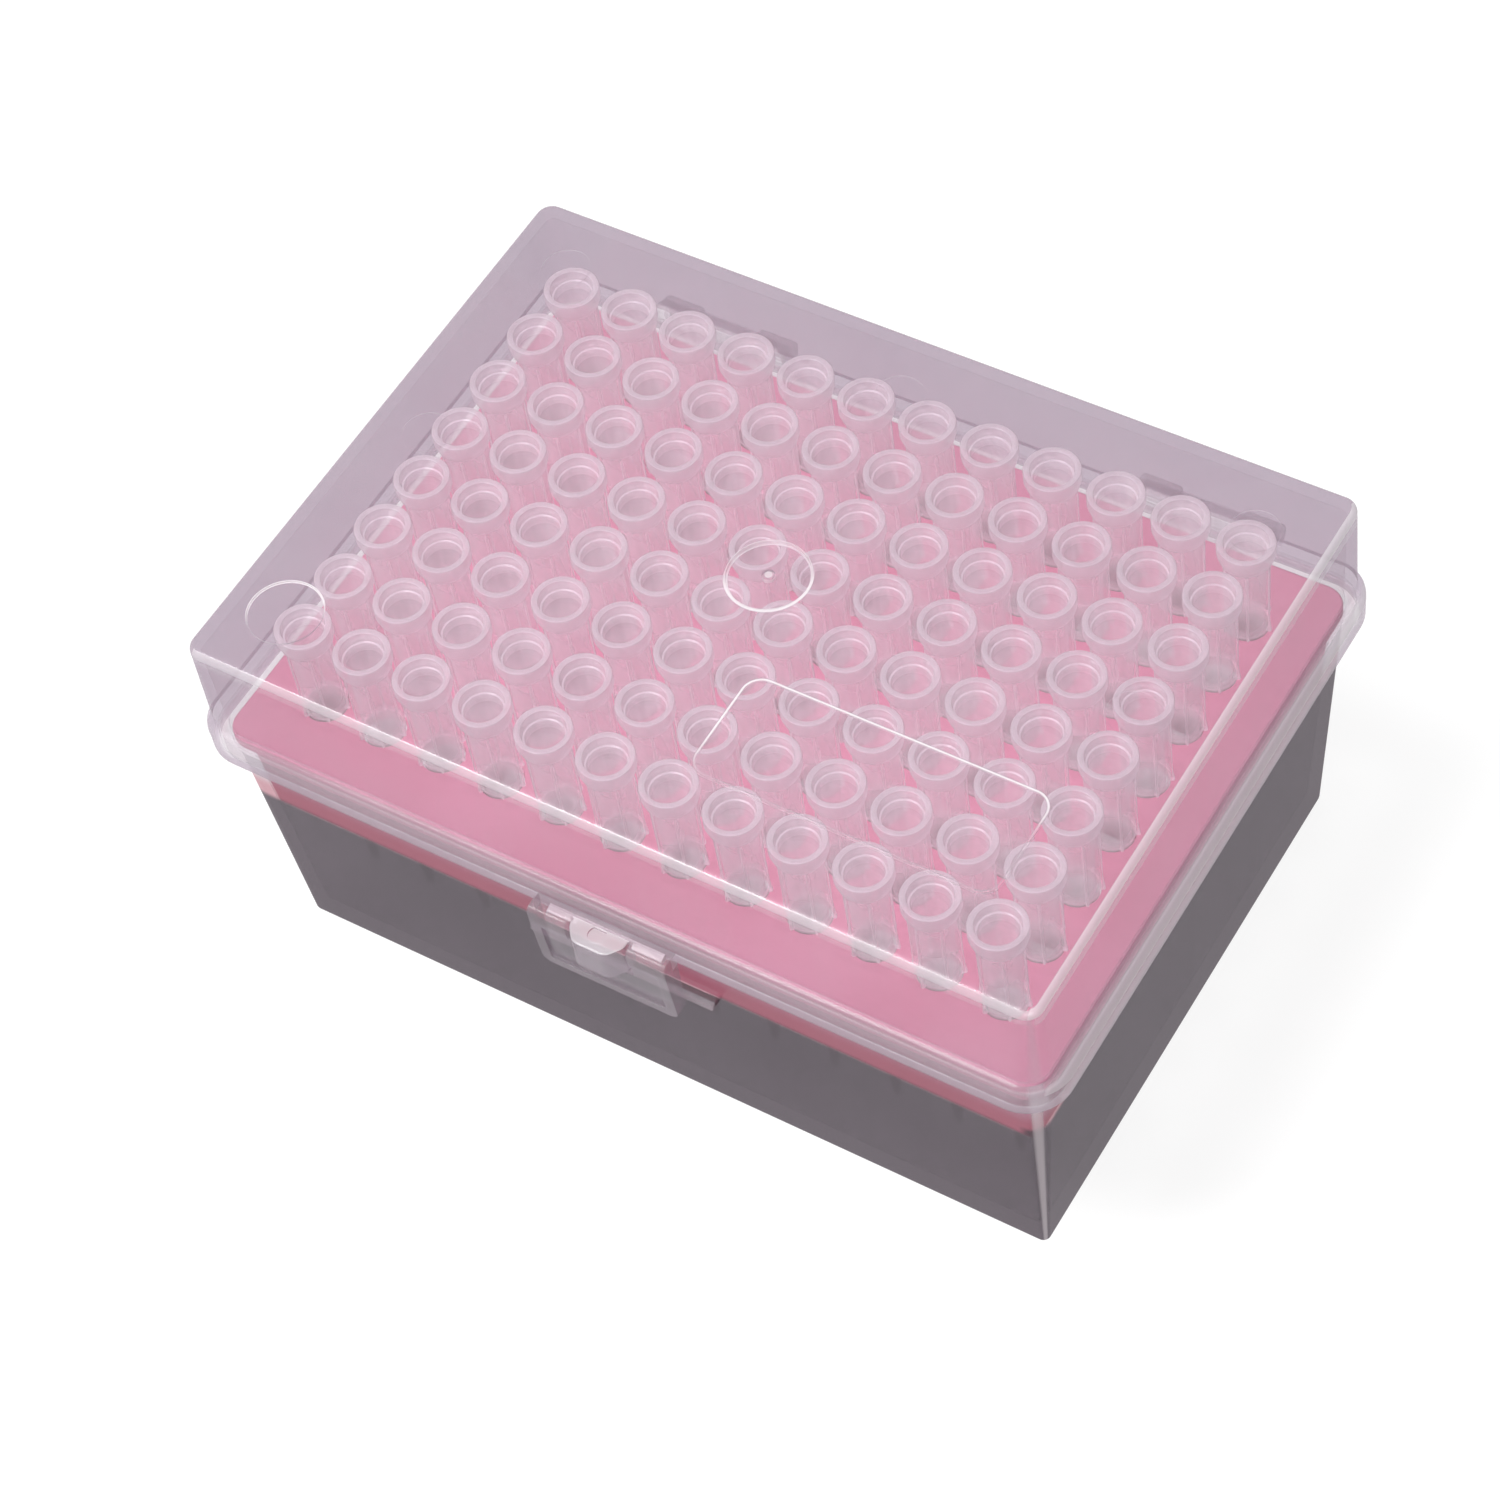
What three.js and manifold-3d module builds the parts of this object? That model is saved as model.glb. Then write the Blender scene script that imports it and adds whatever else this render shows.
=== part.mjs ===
// Hinged-lid box of pipette tips: a drafted base, a drop-in rack plate with ninety-six tips
// on a 9 mm grid, and a clear lid that clips on two hinge bars and snaps over a catch rib.
// Millimetres, +Z up, +X along the long side, -Y is the latch side.
// Origin: centre of the base's flat underside.

import * as THREE from 'three';
import { mergeVertices } from 'three/addons/utils/BufferGeometryUtils.js';
import Module from 'manifold-3d';

const wasm = await Module();
wasm.setup();

// ---------- driving dimensions ----------

// Tip array
const PITCH = 9;
const COLUMNS = 12;
const ROWS = 8;
const LOOSE_COLUMNS = 7; // columns whose tips are pieces of their own; the rest are joined to the rack

// One tip
const TIP_LENGTH = 50.5;
const TIP_BODY_RADIUS = 3.2;
const TIP_COLLAR_STEP = 0.53; // the collar stands this far outside the body
const TIP_COLLAR_HEIGHT = 2.2;
const TIP_COLLAR_CHAMFER = 0.5;
const TIP_MOUTH_WALL = 0.88;
const TIP_SHOULDER = 0.5; // the body steps in by this much where it sits on the rack
const TIP_STAND = 15.8; // from the mouth down to that shoulder
const TIP_NOZZLE_RADIUS = 0.45;
const TIP_SIDES = 8;

// Clearances
const SEAT_GAP = 0.2; // tip shoulder over the rack plate
const HOLE_CLEARANCE = 0.3; // rack hole round a tip's shaft
const FIT_GAP = 0.3; // between every other pair of neighbouring pieces
const NOZZLE_GAP = 6; // tip ends over the box floor
const MOUTH_GAP = 0.8; // tip mouths under the lid

// Walls
const FLOOR = 1.5;
const BASE_WALL = 1.3;
const COLLAR_WALL = 1.1;
const LID_WALL = 1.2;
const RIM_WALL = 1.1;
const SKIRT_WALL = 1.2;
const PLATE = 1.7;

// Plan: the lid's rim is the widest outline, and every other outline is an inset of it
const MARGIN_X = 12.5; // outermost tip axis to the rim's outer face
const MARGIN_Y = 12.6;
const RIM_CORNER = 6;
const MIN_CORNER = 1;
const CORNER_STEPS = 4;
const ROUND_STEPS = 3; // facets across a rounded edge
const LID_WALL_INSET = 1.4; // lid wall just above its shoulder
const LID_DRAFT = 0.45; // further inset of the wall at its top edge
const LID_EDGE = 1.1; // rounding between the wall and the top
const BASE_TOP_INSET = 2.9;
const BASE_BOTTOM_INSET = 5.5;
const BASE_EDGE = 0.8;

// Heights measured from the rack plate's top
const RIM_DROP = 1.8; // the lid's rim ends this far below it
const RIM_HEIGHT = 2.8;
const SHOULDER_HEIGHT = 2;
const COLLAR_RISE = 0.6; // the base's collar stands this far above it
const LEDGE = 1.1; // thickness of the ledge that carries the plate
const SKIRT_DEPTH = 14.8; // below the plate's underside
const RIB_DEPTH = 6;
const RIB_WALL = 1;
const ROWS_PER_RIB = 2;
const COLUMNS_PER_RIB = 3;

// Hinges
const HINGE_OFFSET = 36.5; // middle of each hinge from the middle of the box
const HINGE_WIDTH = 20;
const KNUCKLE_WIDTH = 9;
const KNUCKLE_GAP = 0.4; // between a knuckle and the rim's outer face
const HINGE_RISE = 0.2; // axis above the rim's lower edge
const PIN_RADIUS = 1;
const KNUCKLE_WALL = 0.7;
const EAR_WALL = 0.9;
const EAR_MOUTH = 1.6; // slot through which an ear snaps over the bar
const PAD_RISE = 1.7; // block between the ears, above the rim's straight face
const PAD_REACH = 0.9;
const PAD_FLARE = 1.5; // how much wider the block is at its foot, on each side
const GUSSET_DROP = 6.5;

// Latch
const FLAP_WIDTH = 20;
const FLAP_HEIGHT = 12;
const FLAP_CORNER = 1.5;
const FLAP_REACH = 1.7; // outermost face of the flap outside the rim
const FLAP_SHOULDER = 2.3; // height over which its ledge rounds into its face
const FLAP_TILT = 0.8; // how far the flap leans back towards its lower edge
const FLAP_WALL = 1.2;
const FLAP_LEDGE = 1.1;
const FLAP_FRAME = 1.6; // raised border beside the sunk panel, and the side walls behind it
const FLAP_BAND = 3.3; // raised band above the panel
const PANEL_SINK = 0.35;
const NOTCH_WIDTH = 8.8;
const NOTCH_DEPTH = 6;
const KNOB_WIDTH = 8;
const KNOB_NOSE = 4.8; // its width at the front
const KNOB_REACH = 3.3;
const KNOB_STRAIGHT = 1.2; // length of its parallel sides outside the rim
const KNOB_CORNER = 0.9;
const KNOB_HEIGHT = 5.3;
const DIMPLE_RADIUS = 1.2;
const DIMPLE_DEPTH = 0.3;
const DIMPLE_REACH = 1;
const CATCH_LENGTH = 27; // catch rib along the base
const CATCH_HEIGHT = 1.1;
const CATCH_REACH = 2; // out of the base wall
const CATCH_SLOPE = 1.2; // lead-in above the rib
const HOOK_HEIGHT = 0.6;

// Marks moulded in the lid's top
const GATE_RADIUS = 5.4;
const GATE_DEPTH = 0.6;
const NUB_RADIUS = 0.9;
const DISC_MARGIN_X = 10.5; // centre of the bare disc from the rim's corner
const DISC_MARGIN_Y = 12.4;
const DISC_RADIUS = 4.95;
const DISC_DEPTH = 0.25;
const LABEL_WIDTH = 42;
const LABEL_HEIGHT = 16;
const LABEL_MARGIN_X = 13.9; // label outline from the rim's corner
const LABEL_MARGIN_Y = 14.1;
const LABEL_LINE = 0.4;
const LABEL_RISE = 0.2;
const LABEL_CORNER = 2.6;

// ---------- places that follow from them ----------

const HALF_X = ((COLUMNS - 1) / 2) * PITCH + MARGIN_X;
const HALF_Y = ((ROWS - 1) / 2) * PITCH + MARGIN_Y;

const TIP_BOTTOM = FLOOR + NOZZLE_GAP;
const TIP_TOP = TIP_BOTTOM + TIP_LENGTH;
const PLATE_TOP = TIP_TOP - TIP_STAND - SEAT_GAP;
const PLATE_BOTTOM = PLATE_TOP - PLATE;
const LEDGE_TOP = PLATE_BOTTOM - FIT_GAP;
const COLLAR_BOTTOM = LEDGE_TOP - LEDGE;
const COLLAR_TOP = PLATE_TOP + COLLAR_RISE;
const RIM_BOTTOM = PLATE_TOP - RIM_DROP;
const RIM_TOP = RIM_BOTTOM + RIM_HEIGHT;
const LID_LEDGE = COLLAR_TOP + FIT_GAP;
const LID_CEILING = TIP_TOP + MOUTH_GAP;
const LID_TOP = LID_CEILING + LID_WALL;

const TIP_SHAFT_RADIUS = TIP_BODY_RADIUS - TIP_SHOULDER;
const TIP_COLLAR_RADIUS = TIP_BODY_RADIUS + TIP_COLLAR_STEP;
const TIP_MOUTH_RADIUS = TIP_COLLAR_RADIUS - TIP_MOUTH_WALL;

const COLLAR_INSET = RIM_WALL + FIT_GAP;
const REBATE_INSET = COLLAR_INSET + COLLAR_WALL;
const PLATE_INSET = REBATE_INSET + FIT_GAP;
const LID_TOP_INSET = LID_WALL_INSET + LID_DRAFT;

const KNUCKLE_RADIUS = PIN_RADIUS + KNUCKLE_WALL;
const HINGE_Y = HALF_Y + KNUCKLE_GAP + KNUCKLE_RADIUS;
const HINGE_Z = RIM_BOTTOM + HINGE_RISE;
const EAR_BORE = PIN_RADIUS + FIT_GAP;
const EAR_RADIUS = EAR_BORE + EAR_WALL;

const FLAP_TOP = RIM_BOTTOM + FIT_GAP;
const FLAP_FOOT = RIM_BOTTOM - FLAP_HEIGHT;
const FLAP_FACE = -HALF_Y - FLAP_REACH;
const CATCH_BOTTOM = FLAP_FOOT + HOOK_HEIGHT + FIT_GAP;

const OVERLAP = 0.4; // how far fused features reach into each other
const BEYOND = 5; // how far a cutter runs past what it cuts

// ---------- helpers ----------

// A closed three.js geometry as a manifold solid.
function solid(geometry) {
  const bare = geometry.clone();
  bare.deleteAttribute('normal');
  bare.deleteAttribute('uv');
  const merged = mergeVertices(bare, 1e-4);
  return new wasm.Manifold(new wasm.Mesh({
    numProp: 3,
    vertProperties: new Float32Array(merged.attributes.position.array),
    triVerts: new Uint32Array(merged.index.array),
  }));
}

// A manifold solid back as a three.js geometry.
function geometryOf(body) {
  const mesh = body.getMesh();
  const geometry = new THREE.BufferGeometry();
  geometry.setAttribute('position', new THREE.BufferAttribute(mesh.vertProperties, mesh.numProp));
  geometry.setIndex(new THREE.BufferAttribute(mesh.triVerts, 1));
  geometry.computeVertexNormals();
  return geometry;
}

function union(bodies) {
  return bodies.reduce((whole, body) => whole.add(body));
}

// Points of a rounded rectangle, counter-clockwise, with the same count for any size.
function roundedRectangle(halfX, halfY, radius) {
  const points = [];
  const centres = [[1, 1], [-1, 1], [-1, -1], [1, -1]];
  centres.forEach(([sideX, sideY], corner) => {
    for (let step = 0; step <= CORNER_STEPS; step += 1) {
      const angle = ((corner + step / CORNER_STEPS) * Math.PI) / 2;
      points.push(new THREE.Vector2(
        sideX * (halfX - radius) + radius * Math.cos(angle),
        sideY * (halfY - radius) + radius * Math.sin(angle),
      ));
    }
  });
  return points;
}

// The box's plan outline, moved inwards from the lid's rim.
function planOutline(inset) {
  const radius = Math.max(RIM_CORNER - inset, MIN_CORNER);
  return roundedRectangle(HALF_X - inset, HALF_Y - inset, radius);
}

// A closed solid through outlines of equal point count, from the lowest to the highest.
function loft(levels) {
  const count = levels[0].outline.length;
  const positions = levels.flatMap(({ z, outline }) => outline.flatMap((point) => [point.x, point.y, z]));
  const index = [];
  for (let level = 0; level < levels.length - 1; level += 1) {
    for (let side = 0; side < count; side += 1) {
      const a = level * count + side;
      const b = level * count + ((side + 1) % count);
      index.push(a, b, b + count, a, b + count, a + count);
    }
  }
  const top = (levels.length - 1) * count;
  for (let side = 1; side < count - 1; side += 1) {
    index.push(0, side + 1, side);
    index.push(top, top + side, top + side + 1);
  }
  const geometry = new THREE.BufferGeometry();
  geometry.setAttribute('position', new THREE.Float32BufferAttribute(positions, 3));
  geometry.setIndex(index);
  return solid(geometry);
}

// A loft through insets of the plan, given as [height, inset] pairs.
function planLoft(levels) {
  return loft(levels.map(([z, inset]) => ({ z, outline: planOutline(inset) })));
}

// Levels of a plan loft that round inwards over a quarter ellipse, from vertical to flat.
function roundedLevels(z, height, inset, depth) {
  return Array.from({ length: ROUND_STEPS + 1 }, (_, step) => {
    const angle = ((step / ROUND_STEPS) * Math.PI) / 2;
    return [z + height * Math.sin(angle), inset + depth * (1 - Math.cos(angle))];
  });
}

// A box between two corners.
function block(low, high) {
  const geometry = new THREE.BoxGeometry(high[0] - low[0], high[1] - low[1], high[2] - low[2]);
  geometry.translate((low[0] + high[0]) / 2, (low[1] + high[1]) / 2, (low[2] + high[2]) / 2);
  return solid(geometry);
}

// A shape drawn with Y to the right and Z up, extruded along X and centred on the given x.
function sideShape(shape, width, x) {
  const geometry = new THREE.ExtrudeGeometry(shape, { depth: width, bevelEnabled: false, curveSegments: 4 });
  const axes = new THREE.Matrix4().makeBasis(
    new THREE.Vector3(0, 1, 0), new THREE.Vector3(0, 0, 1), new THREE.Vector3(1, 0, 0),
  );
  geometry.applyMatrix4(axes);
  geometry.translate(x - width / 2, 0, 0);
  return solid(geometry);
}

// The same from an outline of straight sides, given as [y, z] pairs.
function sideProfile(points, width, x) {
  return sideShape(new THREE.Shape(points.map(([y, z]) => new THREE.Vector2(y, z))), width, x);
}

// A shape drawn with X to the right and Z up, extruded along Y between two values.
function frontShape(shape, fromY, toY) {
  const geometry = new THREE.ExtrudeGeometry(shape, {
    depth: toY - fromY, bevelEnabled: false, curveSegments: 3,
  });
  geometry.rotateX(Math.PI / 2);
  geometry.translate(0, toY, 0);
  return solid(geometry);
}

// A round bar along X.
function barAlongX(radius, length, x, y, z, sides) {
  const geometry = new THREE.CylinderGeometry(radius, radius, length, sides);
  geometry.rotateZ(Math.PI / 2);
  geometry.translate(x, y, z);
  return solid(geometry);
}

// A round disc standing on the given height.
function disc(radius, height, x, y, z, sides) {
  const geometry = new THREE.CylinderGeometry(radius, radius, height, sides);
  geometry.rotateX(Math.PI / 2);
  geometry.translate(x, y, z + height / 2);
  return solid(geometry);
}

// Points of an arc as [y, z] pairs round a centre, angles in degrees from +Y towards +Z.
function arc(y, z, radius, from, to, steps) {
  return Array.from({ length: steps + 1 }, (_, step) => {
    const angle = THREE.MathUtils.degToRad(from + ((to - from) * step) / steps);
    return [y + radius * Math.cos(angle), z + radius * Math.sin(angle)];
  });
}

// ---------- tips ----------

// Radius of the straight taper from a tip's nozzle to a larger radius, at a share of the way up.
function taper(radius, share) {
  return TIP_NOZZLE_RADIUS + (radius - TIP_NOZZLE_RADIUS) * share;
}

// A tip turned round its own axis: the given foot, then body, collar, mouth and tapered bore.
function turnedTip(foot, drop) {
  const top = TIP_TOP - drop;
  const nozzle = [TIP_NOZZLE_RADIUS, TIP_BOTTOM - drop];
  const profile = [
    nozzle,
    ...foot,
    [TIP_BODY_RADIUS, top - TIP_COLLAR_HEIGHT - TIP_COLLAR_CHAMFER],
    [TIP_COLLAR_RADIUS, top - TIP_COLLAR_HEIGHT],
    [TIP_COLLAR_RADIUS, top],
    [TIP_MOUTH_RADIUS, top],
    nozzle,
  ];
  const points = profile.map(([radius, z]) => new THREE.Vector2(radius, z));
  const geometry = new THREE.LatheGeometry(points, TIP_SIDES, Math.PI / TIP_SIDES);
  geometry.rotateX(Math.PI / 2);
  return solid(geometry);
}

// A tip of its own, which stands on the rack by its shoulder.
function looseTip() {
  const shoulder = TIP_TOP - TIP_STAND;
  return turnedTip([[TIP_SHAFT_RADIUS, shoulder], [TIP_BODY_RADIUS, shoulder]], 0);
}

// A tip that is one with the rack: its shoulder is a cone inside the plate.
function joinedTip() {
  const radius = taper(TIP_SHAFT_RADIUS, 1 - PLATE / (TIP_LENGTH - TIP_STAND));
  return turnedTip([[radius, PLATE_BOTTOM], [TIP_BODY_RADIUS, PLATE_TOP]], SEAT_GAP);
}

// An upright prism through the rack plate, with as many sides as a tip.
function plateCutter(radius, [x, y]) {
  const height = PLATE + 2 * BEYOND;
  const turn = Math.PI / TIP_SIDES;
  const geometry = new THREE.CylinderGeometry(radius, radius, height, TIP_SIDES, 1, false, turn);
  geometry.rotateX(Math.PI / 2);
  geometry.translate(x, y, PLATE_TOP - PLATE / 2);
  return solid(geometry);
}

// Column 0 is at the left end, and row 0 is the one by the hinges.
function tipPlace(column, row) {
  return [(column - (COLUMNS - 1) / 2) * PITCH, ((ROWS - 1) / 2 - row) * PITCH];
}

// Every place of the grid from one column to another, the last one left out.
function tipPlaces(fromColumn, toColumn) {
  const places = [];
  for (let column = fromColumn; column < toColumn; column += 1) {
    for (let row = 0; row < ROWS; row += 1) places.push({ column, row, at: tipPlace(column, row) });
  }
  return places;
}

// ---------- base ----------

// Inset of the base's drafted outer wall at a height.
function baseInset(z) {
  const share = (z - BASE_EDGE) / (COLLAR_BOTTOM - BASE_EDGE);
  return BASE_BOTTOM_INSET + (BASE_TOP_INSET - BASE_BOTTOM_INSET) * share;
}

// Drafted tub with a ledge for the rack plate and an upright collar that the lid's rim goes over.
function baseShell() {
  const body = planLoft([
    [0, BASE_BOTTOM_INSET + BASE_EDGE],
    [BASE_EDGE, BASE_BOTTOM_INSET],
    [LEDGE_TOP, baseInset(LEDGE_TOP)],
  ]);
  const collar = planLoft([[COLLAR_BOTTOM, COLLAR_INSET], [COLLAR_TOP, COLLAR_INSET]]);
  const cavity = planLoft([
    [FLOOR, baseInset(FLOOR) + BASE_WALL],
    [LEDGE_TOP + BEYOND, baseInset(LEDGE_TOP + BEYOND) + BASE_WALL],
  ]);
  const rebate = planLoft([[LEDGE_TOP, REBATE_INSET], [COLLAR_TOP + BEYOND, REBATE_INSET]]);
  return body.add(collar).subtract(cavity).subtract(rebate);
}

// The rib along the front wall that holds the lid's flap, with a sloped lead-in.
function catchRib() {
  const top = CATCH_BOTTOM + CATCH_HEIGHT;
  const wall = -(HALF_Y - baseInset(CATCH_BOTTOM));
  const root = wall + BASE_WALL / 2;
  return sideProfile([
    [root, top + CATCH_SLOPE],
    [wall - CATCH_REACH, top - CATCH_HEIGHT / 2],
    [wall - CATCH_REACH, CATCH_BOTTOM],
    [root, CATCH_BOTTOM],
  ], CATCH_LENGTH, 0);
}

// A gusseted arm with a bar through its knuckle, for one hinge.
function hingeBracket(x) {
  const wallY = HALF_Y - baseInset(COLLAR_BOTTOM) - OVERLAP;
  const armTop = RIM_BOTTOM - FIT_GAP;
  const arm = sideProfile([
    [wallY, COLLAR_BOTTOM - GUSSET_DROP],
    ...arc(HINGE_Y, HINGE_Z, KNUCKLE_RADIUS, -60, 180, 8),
    [HINGE_Y - KNUCKLE_RADIUS, armTop],
    [wallY, armTop],
  ], KNUCKLE_WIDTH, x);
  const bar = barAlongX(PIN_RADIUS, HINGE_WIDTH - OVERLAP * 2, x, HINGE_Y, HINGE_Z, 12);
  return arm.add(bar);
}

function makeBase() {
  return union([baseShell(), catchRib(), hingeBracket(-HINGE_OFFSET), hingeBracket(HINGE_OFFSET)]);
}

// ---------- rack ----------

// The rack's drafted skirt, which hangs inside the base's walls.
function rackSkirt() {
  const clear = BASE_WALL + FIT_GAP;
  const top = PLATE_BOTTOM + PLATE / 2;
  const bottom = PLATE_BOTTOM - SKIRT_DEPTH;
  const outer = planLoft([[bottom, baseInset(bottom) + clear], [top, baseInset(top) + clear]]);
  const open = bottom - BEYOND;
  const inner = planLoft([
    [open, baseInset(open) + clear + SKIRT_WALL],
    [PLATE_BOTTOM, baseInset(PLATE_BOTTOM) + clear + SKIRT_WALL],
  ]);
  return outer.subtract(inner);
}

// Stiffening ribs under the plate, in the gaps between rows and between columns.
function rackRibs() {
  const bottom = PLATE_BOTTOM - RIB_DEPTH;
  const top = PLATE_BOTTOM + PLATE / 2;
  const inset = baseInset(bottom) + BASE_WALL + FIT_GAP + SKIRT_WALL / 2;
  const reachX = HALF_X - inset;
  const reachY = HALF_Y - inset;
  const ribs = [];
  for (let gap = ROWS_PER_RIB; gap < ROWS; gap += ROWS_PER_RIB) {
    const y = (gap - ROWS / 2) * PITCH;
    ribs.push(block([-reachX, y - RIB_WALL / 2, bottom], [reachX, y + RIB_WALL / 2, top]));
  }
  for (let gap = COLUMNS_PER_RIB; gap < COLUMNS; gap += COLUMNS_PER_RIB) {
    const x = (gap - COLUMNS / 2) * PITCH;
    ribs.push(block([x - RIB_WALL / 2, -reachY, bottom], [x + RIB_WALL / 2, reachY, top]));
  }
  return union(ribs);
}

// The plate with its skirt and ribs, a hole for each loose tip, and the tips that are one with it.
function makeRack() {
  const plate = planLoft([[PLATE_BOTTOM, PLATE_INSET], [PLATE_TOP, PLATE_INSET]]);
  const holeRadius = TIP_SHAFT_RADIUS + HOLE_CLEARANCE;
  const boreRadius = (taper(TIP_MOUTH_RADIUS, 1 - TIP_STAND / TIP_LENGTH) + TIP_SHAFT_RADIUS) / 2;
  const joined = tipPlaces(LOOSE_COLUMNS, COLUMNS);
  const cutters = [
    ...tipPlaces(0, LOOSE_COLUMNS).map(({ at }) => plateCutter(holeRadius, at)),
    ...joined.map(({ at }) => plateCutter(boreRadius, at)),
  ];
  const tip = joinedTip();
  const tips = joined.map(({ at }) => tip.translate([at[0], at[1], 0]));
  return union([plate, rackSkirt(), rackRibs()]).subtract(union(cutters)).add(union(tips));
}

// ---------- lid ----------

// Rim, rounded shoulder, drafted wall and flat top, hollow inside, with a socket for the collar.
function lidShell() {
  const outer = planLoft([
    [RIM_BOTTOM, 0],
    ...roundedLevels(RIM_TOP, SHOULDER_HEIGHT, 0, LID_WALL_INSET),
    ...roundedLevels(LID_TOP - LID_EDGE, LID_EDGE, LID_TOP_INSET, LID_EDGE),
  ]);
  const socket = planLoft([[RIM_BOTTOM - BEYOND, RIM_WALL], [LID_LEDGE, RIM_WALL]]);
  const cavity = planLoft([
    [RIM_BOTTOM - BEYOND, LID_WALL_INSET + LID_WALL],
    [LID_CEILING, LID_TOP_INSET + LID_WALL],
  ]);
  return outer.subtract(socket).subtract(cavity);
}

// The latch flap's section: a ledge out of the rim that rounds over into a leaning face.
function flapPlate() {
  const rim = -HALF_Y;
  const back = rim + RIM_WALL;
  const shape = new THREE.Shape();
  shape.moveTo(back, RIM_BOTTOM + FLAP_LEDGE);
  shape.lineTo(rim, RIM_BOTTOM + FLAP_LEDGE);
  shape.lineTo(rim, FLAP_TOP);
  shape.quadraticCurveTo(FLAP_FACE, FLAP_TOP, FLAP_FACE, FLAP_TOP - FLAP_SHOULDER);
  shape.lineTo(FLAP_FACE + FLAP_TILT, FLAP_FOOT);
  shape.lineTo(FLAP_FACE + FLAP_TILT + FLAP_WALL, FLAP_FOOT);
  shape.lineTo(FLAP_FACE + FLAP_WALL, FLAP_TOP - FLAP_SHOULDER);
  shape.lineTo(back, RIM_BOTTOM - FLAP_LEDGE);
  return sideShape(shape, FLAP_WIDTH, 0);
}

// Side walls and lower lip behind the flap's face, short of the catch rib.
function flapFrame() {
  const face = FLAP_FACE + FLAP_WALL / 2;
  const lean = face + FLAP_TILT;
  const back = -HALF_Y + RIM_WALL;
  const top = RIM_BOTTOM - FLAP_LEDGE / 2;
  const sides = [-1, 1].map((side) => sideProfile(
    [[face, top], [lean, FLAP_FOOT], [back, FLAP_FOOT], [back, top]],
    FLAP_FRAME,
    (side * (FLAP_WIDTH - FLAP_FRAME)) / 2,
  ));
  const catchFace = -(HALF_Y - baseInset(CATCH_BOTTOM)) - CATCH_REACH;
  const lip = block(
    [-FLAP_WIDTH / 2 + OVERLAP, lean, FLAP_FOOT],
    [FLAP_WIDTH / 2 - OVERLAP, catchFace - FIT_GAP, FLAP_FOOT + HOOK_HEIGHT],
  );
  return union([...sides, lip]);
}

// The flap's front outline, with rounded lower corners.
function flapOutline() {
  const side = FLAP_WIDTH / 2;
  const top = RIM_BOTTOM + FLAP_LEDGE;
  const shape = new THREE.Shape();
  shape.moveTo(-side, top);
  shape.lineTo(-side, FLAP_FOOT + FLAP_CORNER);
  shape.absarc(-side + FLAP_CORNER, FLAP_FOOT + FLAP_CORNER, FLAP_CORNER, Math.PI, 1.5 * Math.PI);
  shape.absarc(side - FLAP_CORNER, FLAP_FOOT + FLAP_CORNER, FLAP_CORNER, 1.5 * Math.PI, 2 * Math.PI);
  shape.lineTo(side, top);
  return frontShape(shape, FLAP_FACE - BEYOND, -HALF_Y + BEYOND);
}

// What is taken out of the flap's face to leave the raised band and borders round a sunk panel.
function flapPanelCutter() {
  const low = FLAP_FOOT + FLAP_FRAME;
  const high = FLAP_TOP - FLAP_BAND;
  const straight = FLAP_TOP - FLAP_SHOULDER;
  const faceAt = (z) => FLAP_FACE + (FLAP_TILT * (straight - z)) / (straight - FLAP_FOOT);
  return sideProfile([
    [FLAP_FACE - BEYOND, high],
    [FLAP_FACE - BEYOND, low],
    [faceAt(low) + PANEL_SINK, low],
    [faceAt(high) + PANEL_SINK, high],
  ], FLAP_WIDTH - 2 * FLAP_FRAME, 0);
}

// The thumb knob in the flap's notch, narrowing towards its front, with a dimple on top.
function thumbKnob() {
  const rim = -HALF_Y;
  const front = rim - KNOB_REACH;
  const shape = new THREE.Shape();
  shape.moveTo(-KNOB_WIDTH / 2, rim + RIM_WALL);
  shape.lineTo(-KNOB_WIDTH / 2, rim - KNOB_STRAIGHT);
  shape.lineTo(-KNOB_NOSE / 2 - KNOB_CORNER / 2, front + KNOB_CORNER / 2);
  shape.quadraticCurveTo(-KNOB_NOSE / 2, front, -KNOB_NOSE / 2 + KNOB_CORNER, front);
  shape.lineTo(KNOB_NOSE / 2 - KNOB_CORNER, front);
  shape.quadraticCurveTo(KNOB_NOSE / 2, front, KNOB_NOSE / 2 + KNOB_CORNER / 2, front + KNOB_CORNER / 2);
  shape.lineTo(KNOB_WIDTH / 2, rim - KNOB_STRAIGHT);
  shape.lineTo(KNOB_WIDTH / 2, rim + RIM_WALL);
  const geometry = new THREE.ExtrudeGeometry(shape, {
    depth: KNOB_HEIGHT, bevelEnabled: false, curveSegments: 3,
  });
  geometry.translate(0, 0, FLAP_TOP - KNOB_HEIGHT);
  const dimple = disc(DIMPLE_RADIUS, DIMPLE_DEPTH * 2, 0, rim - DIMPLE_REACH, FLAP_TOP - DIMPLE_DEPTH, 12);
  return solid(geometry).subtract(dimple);
}

// The whole latch: flap with its notch and sunk panel, and the knob in the notch.
function makeLatch() {
  const notch = block(
    [-NOTCH_WIDTH / 2, FLAP_FACE - BEYOND, RIM_BOTTOM - NOTCH_DEPTH],
    [NOTCH_WIDTH / 2, -HALF_Y - OVERLAP / 2, RIM_BOTTOM + FLAP_LEDGE],
  );
  const flap = flapPlate().add(flapFrame()).intersect(flapOutline());
  return flap.subtract(flapPanelCutter()).subtract(notch).add(thumbKnob());
}

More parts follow.
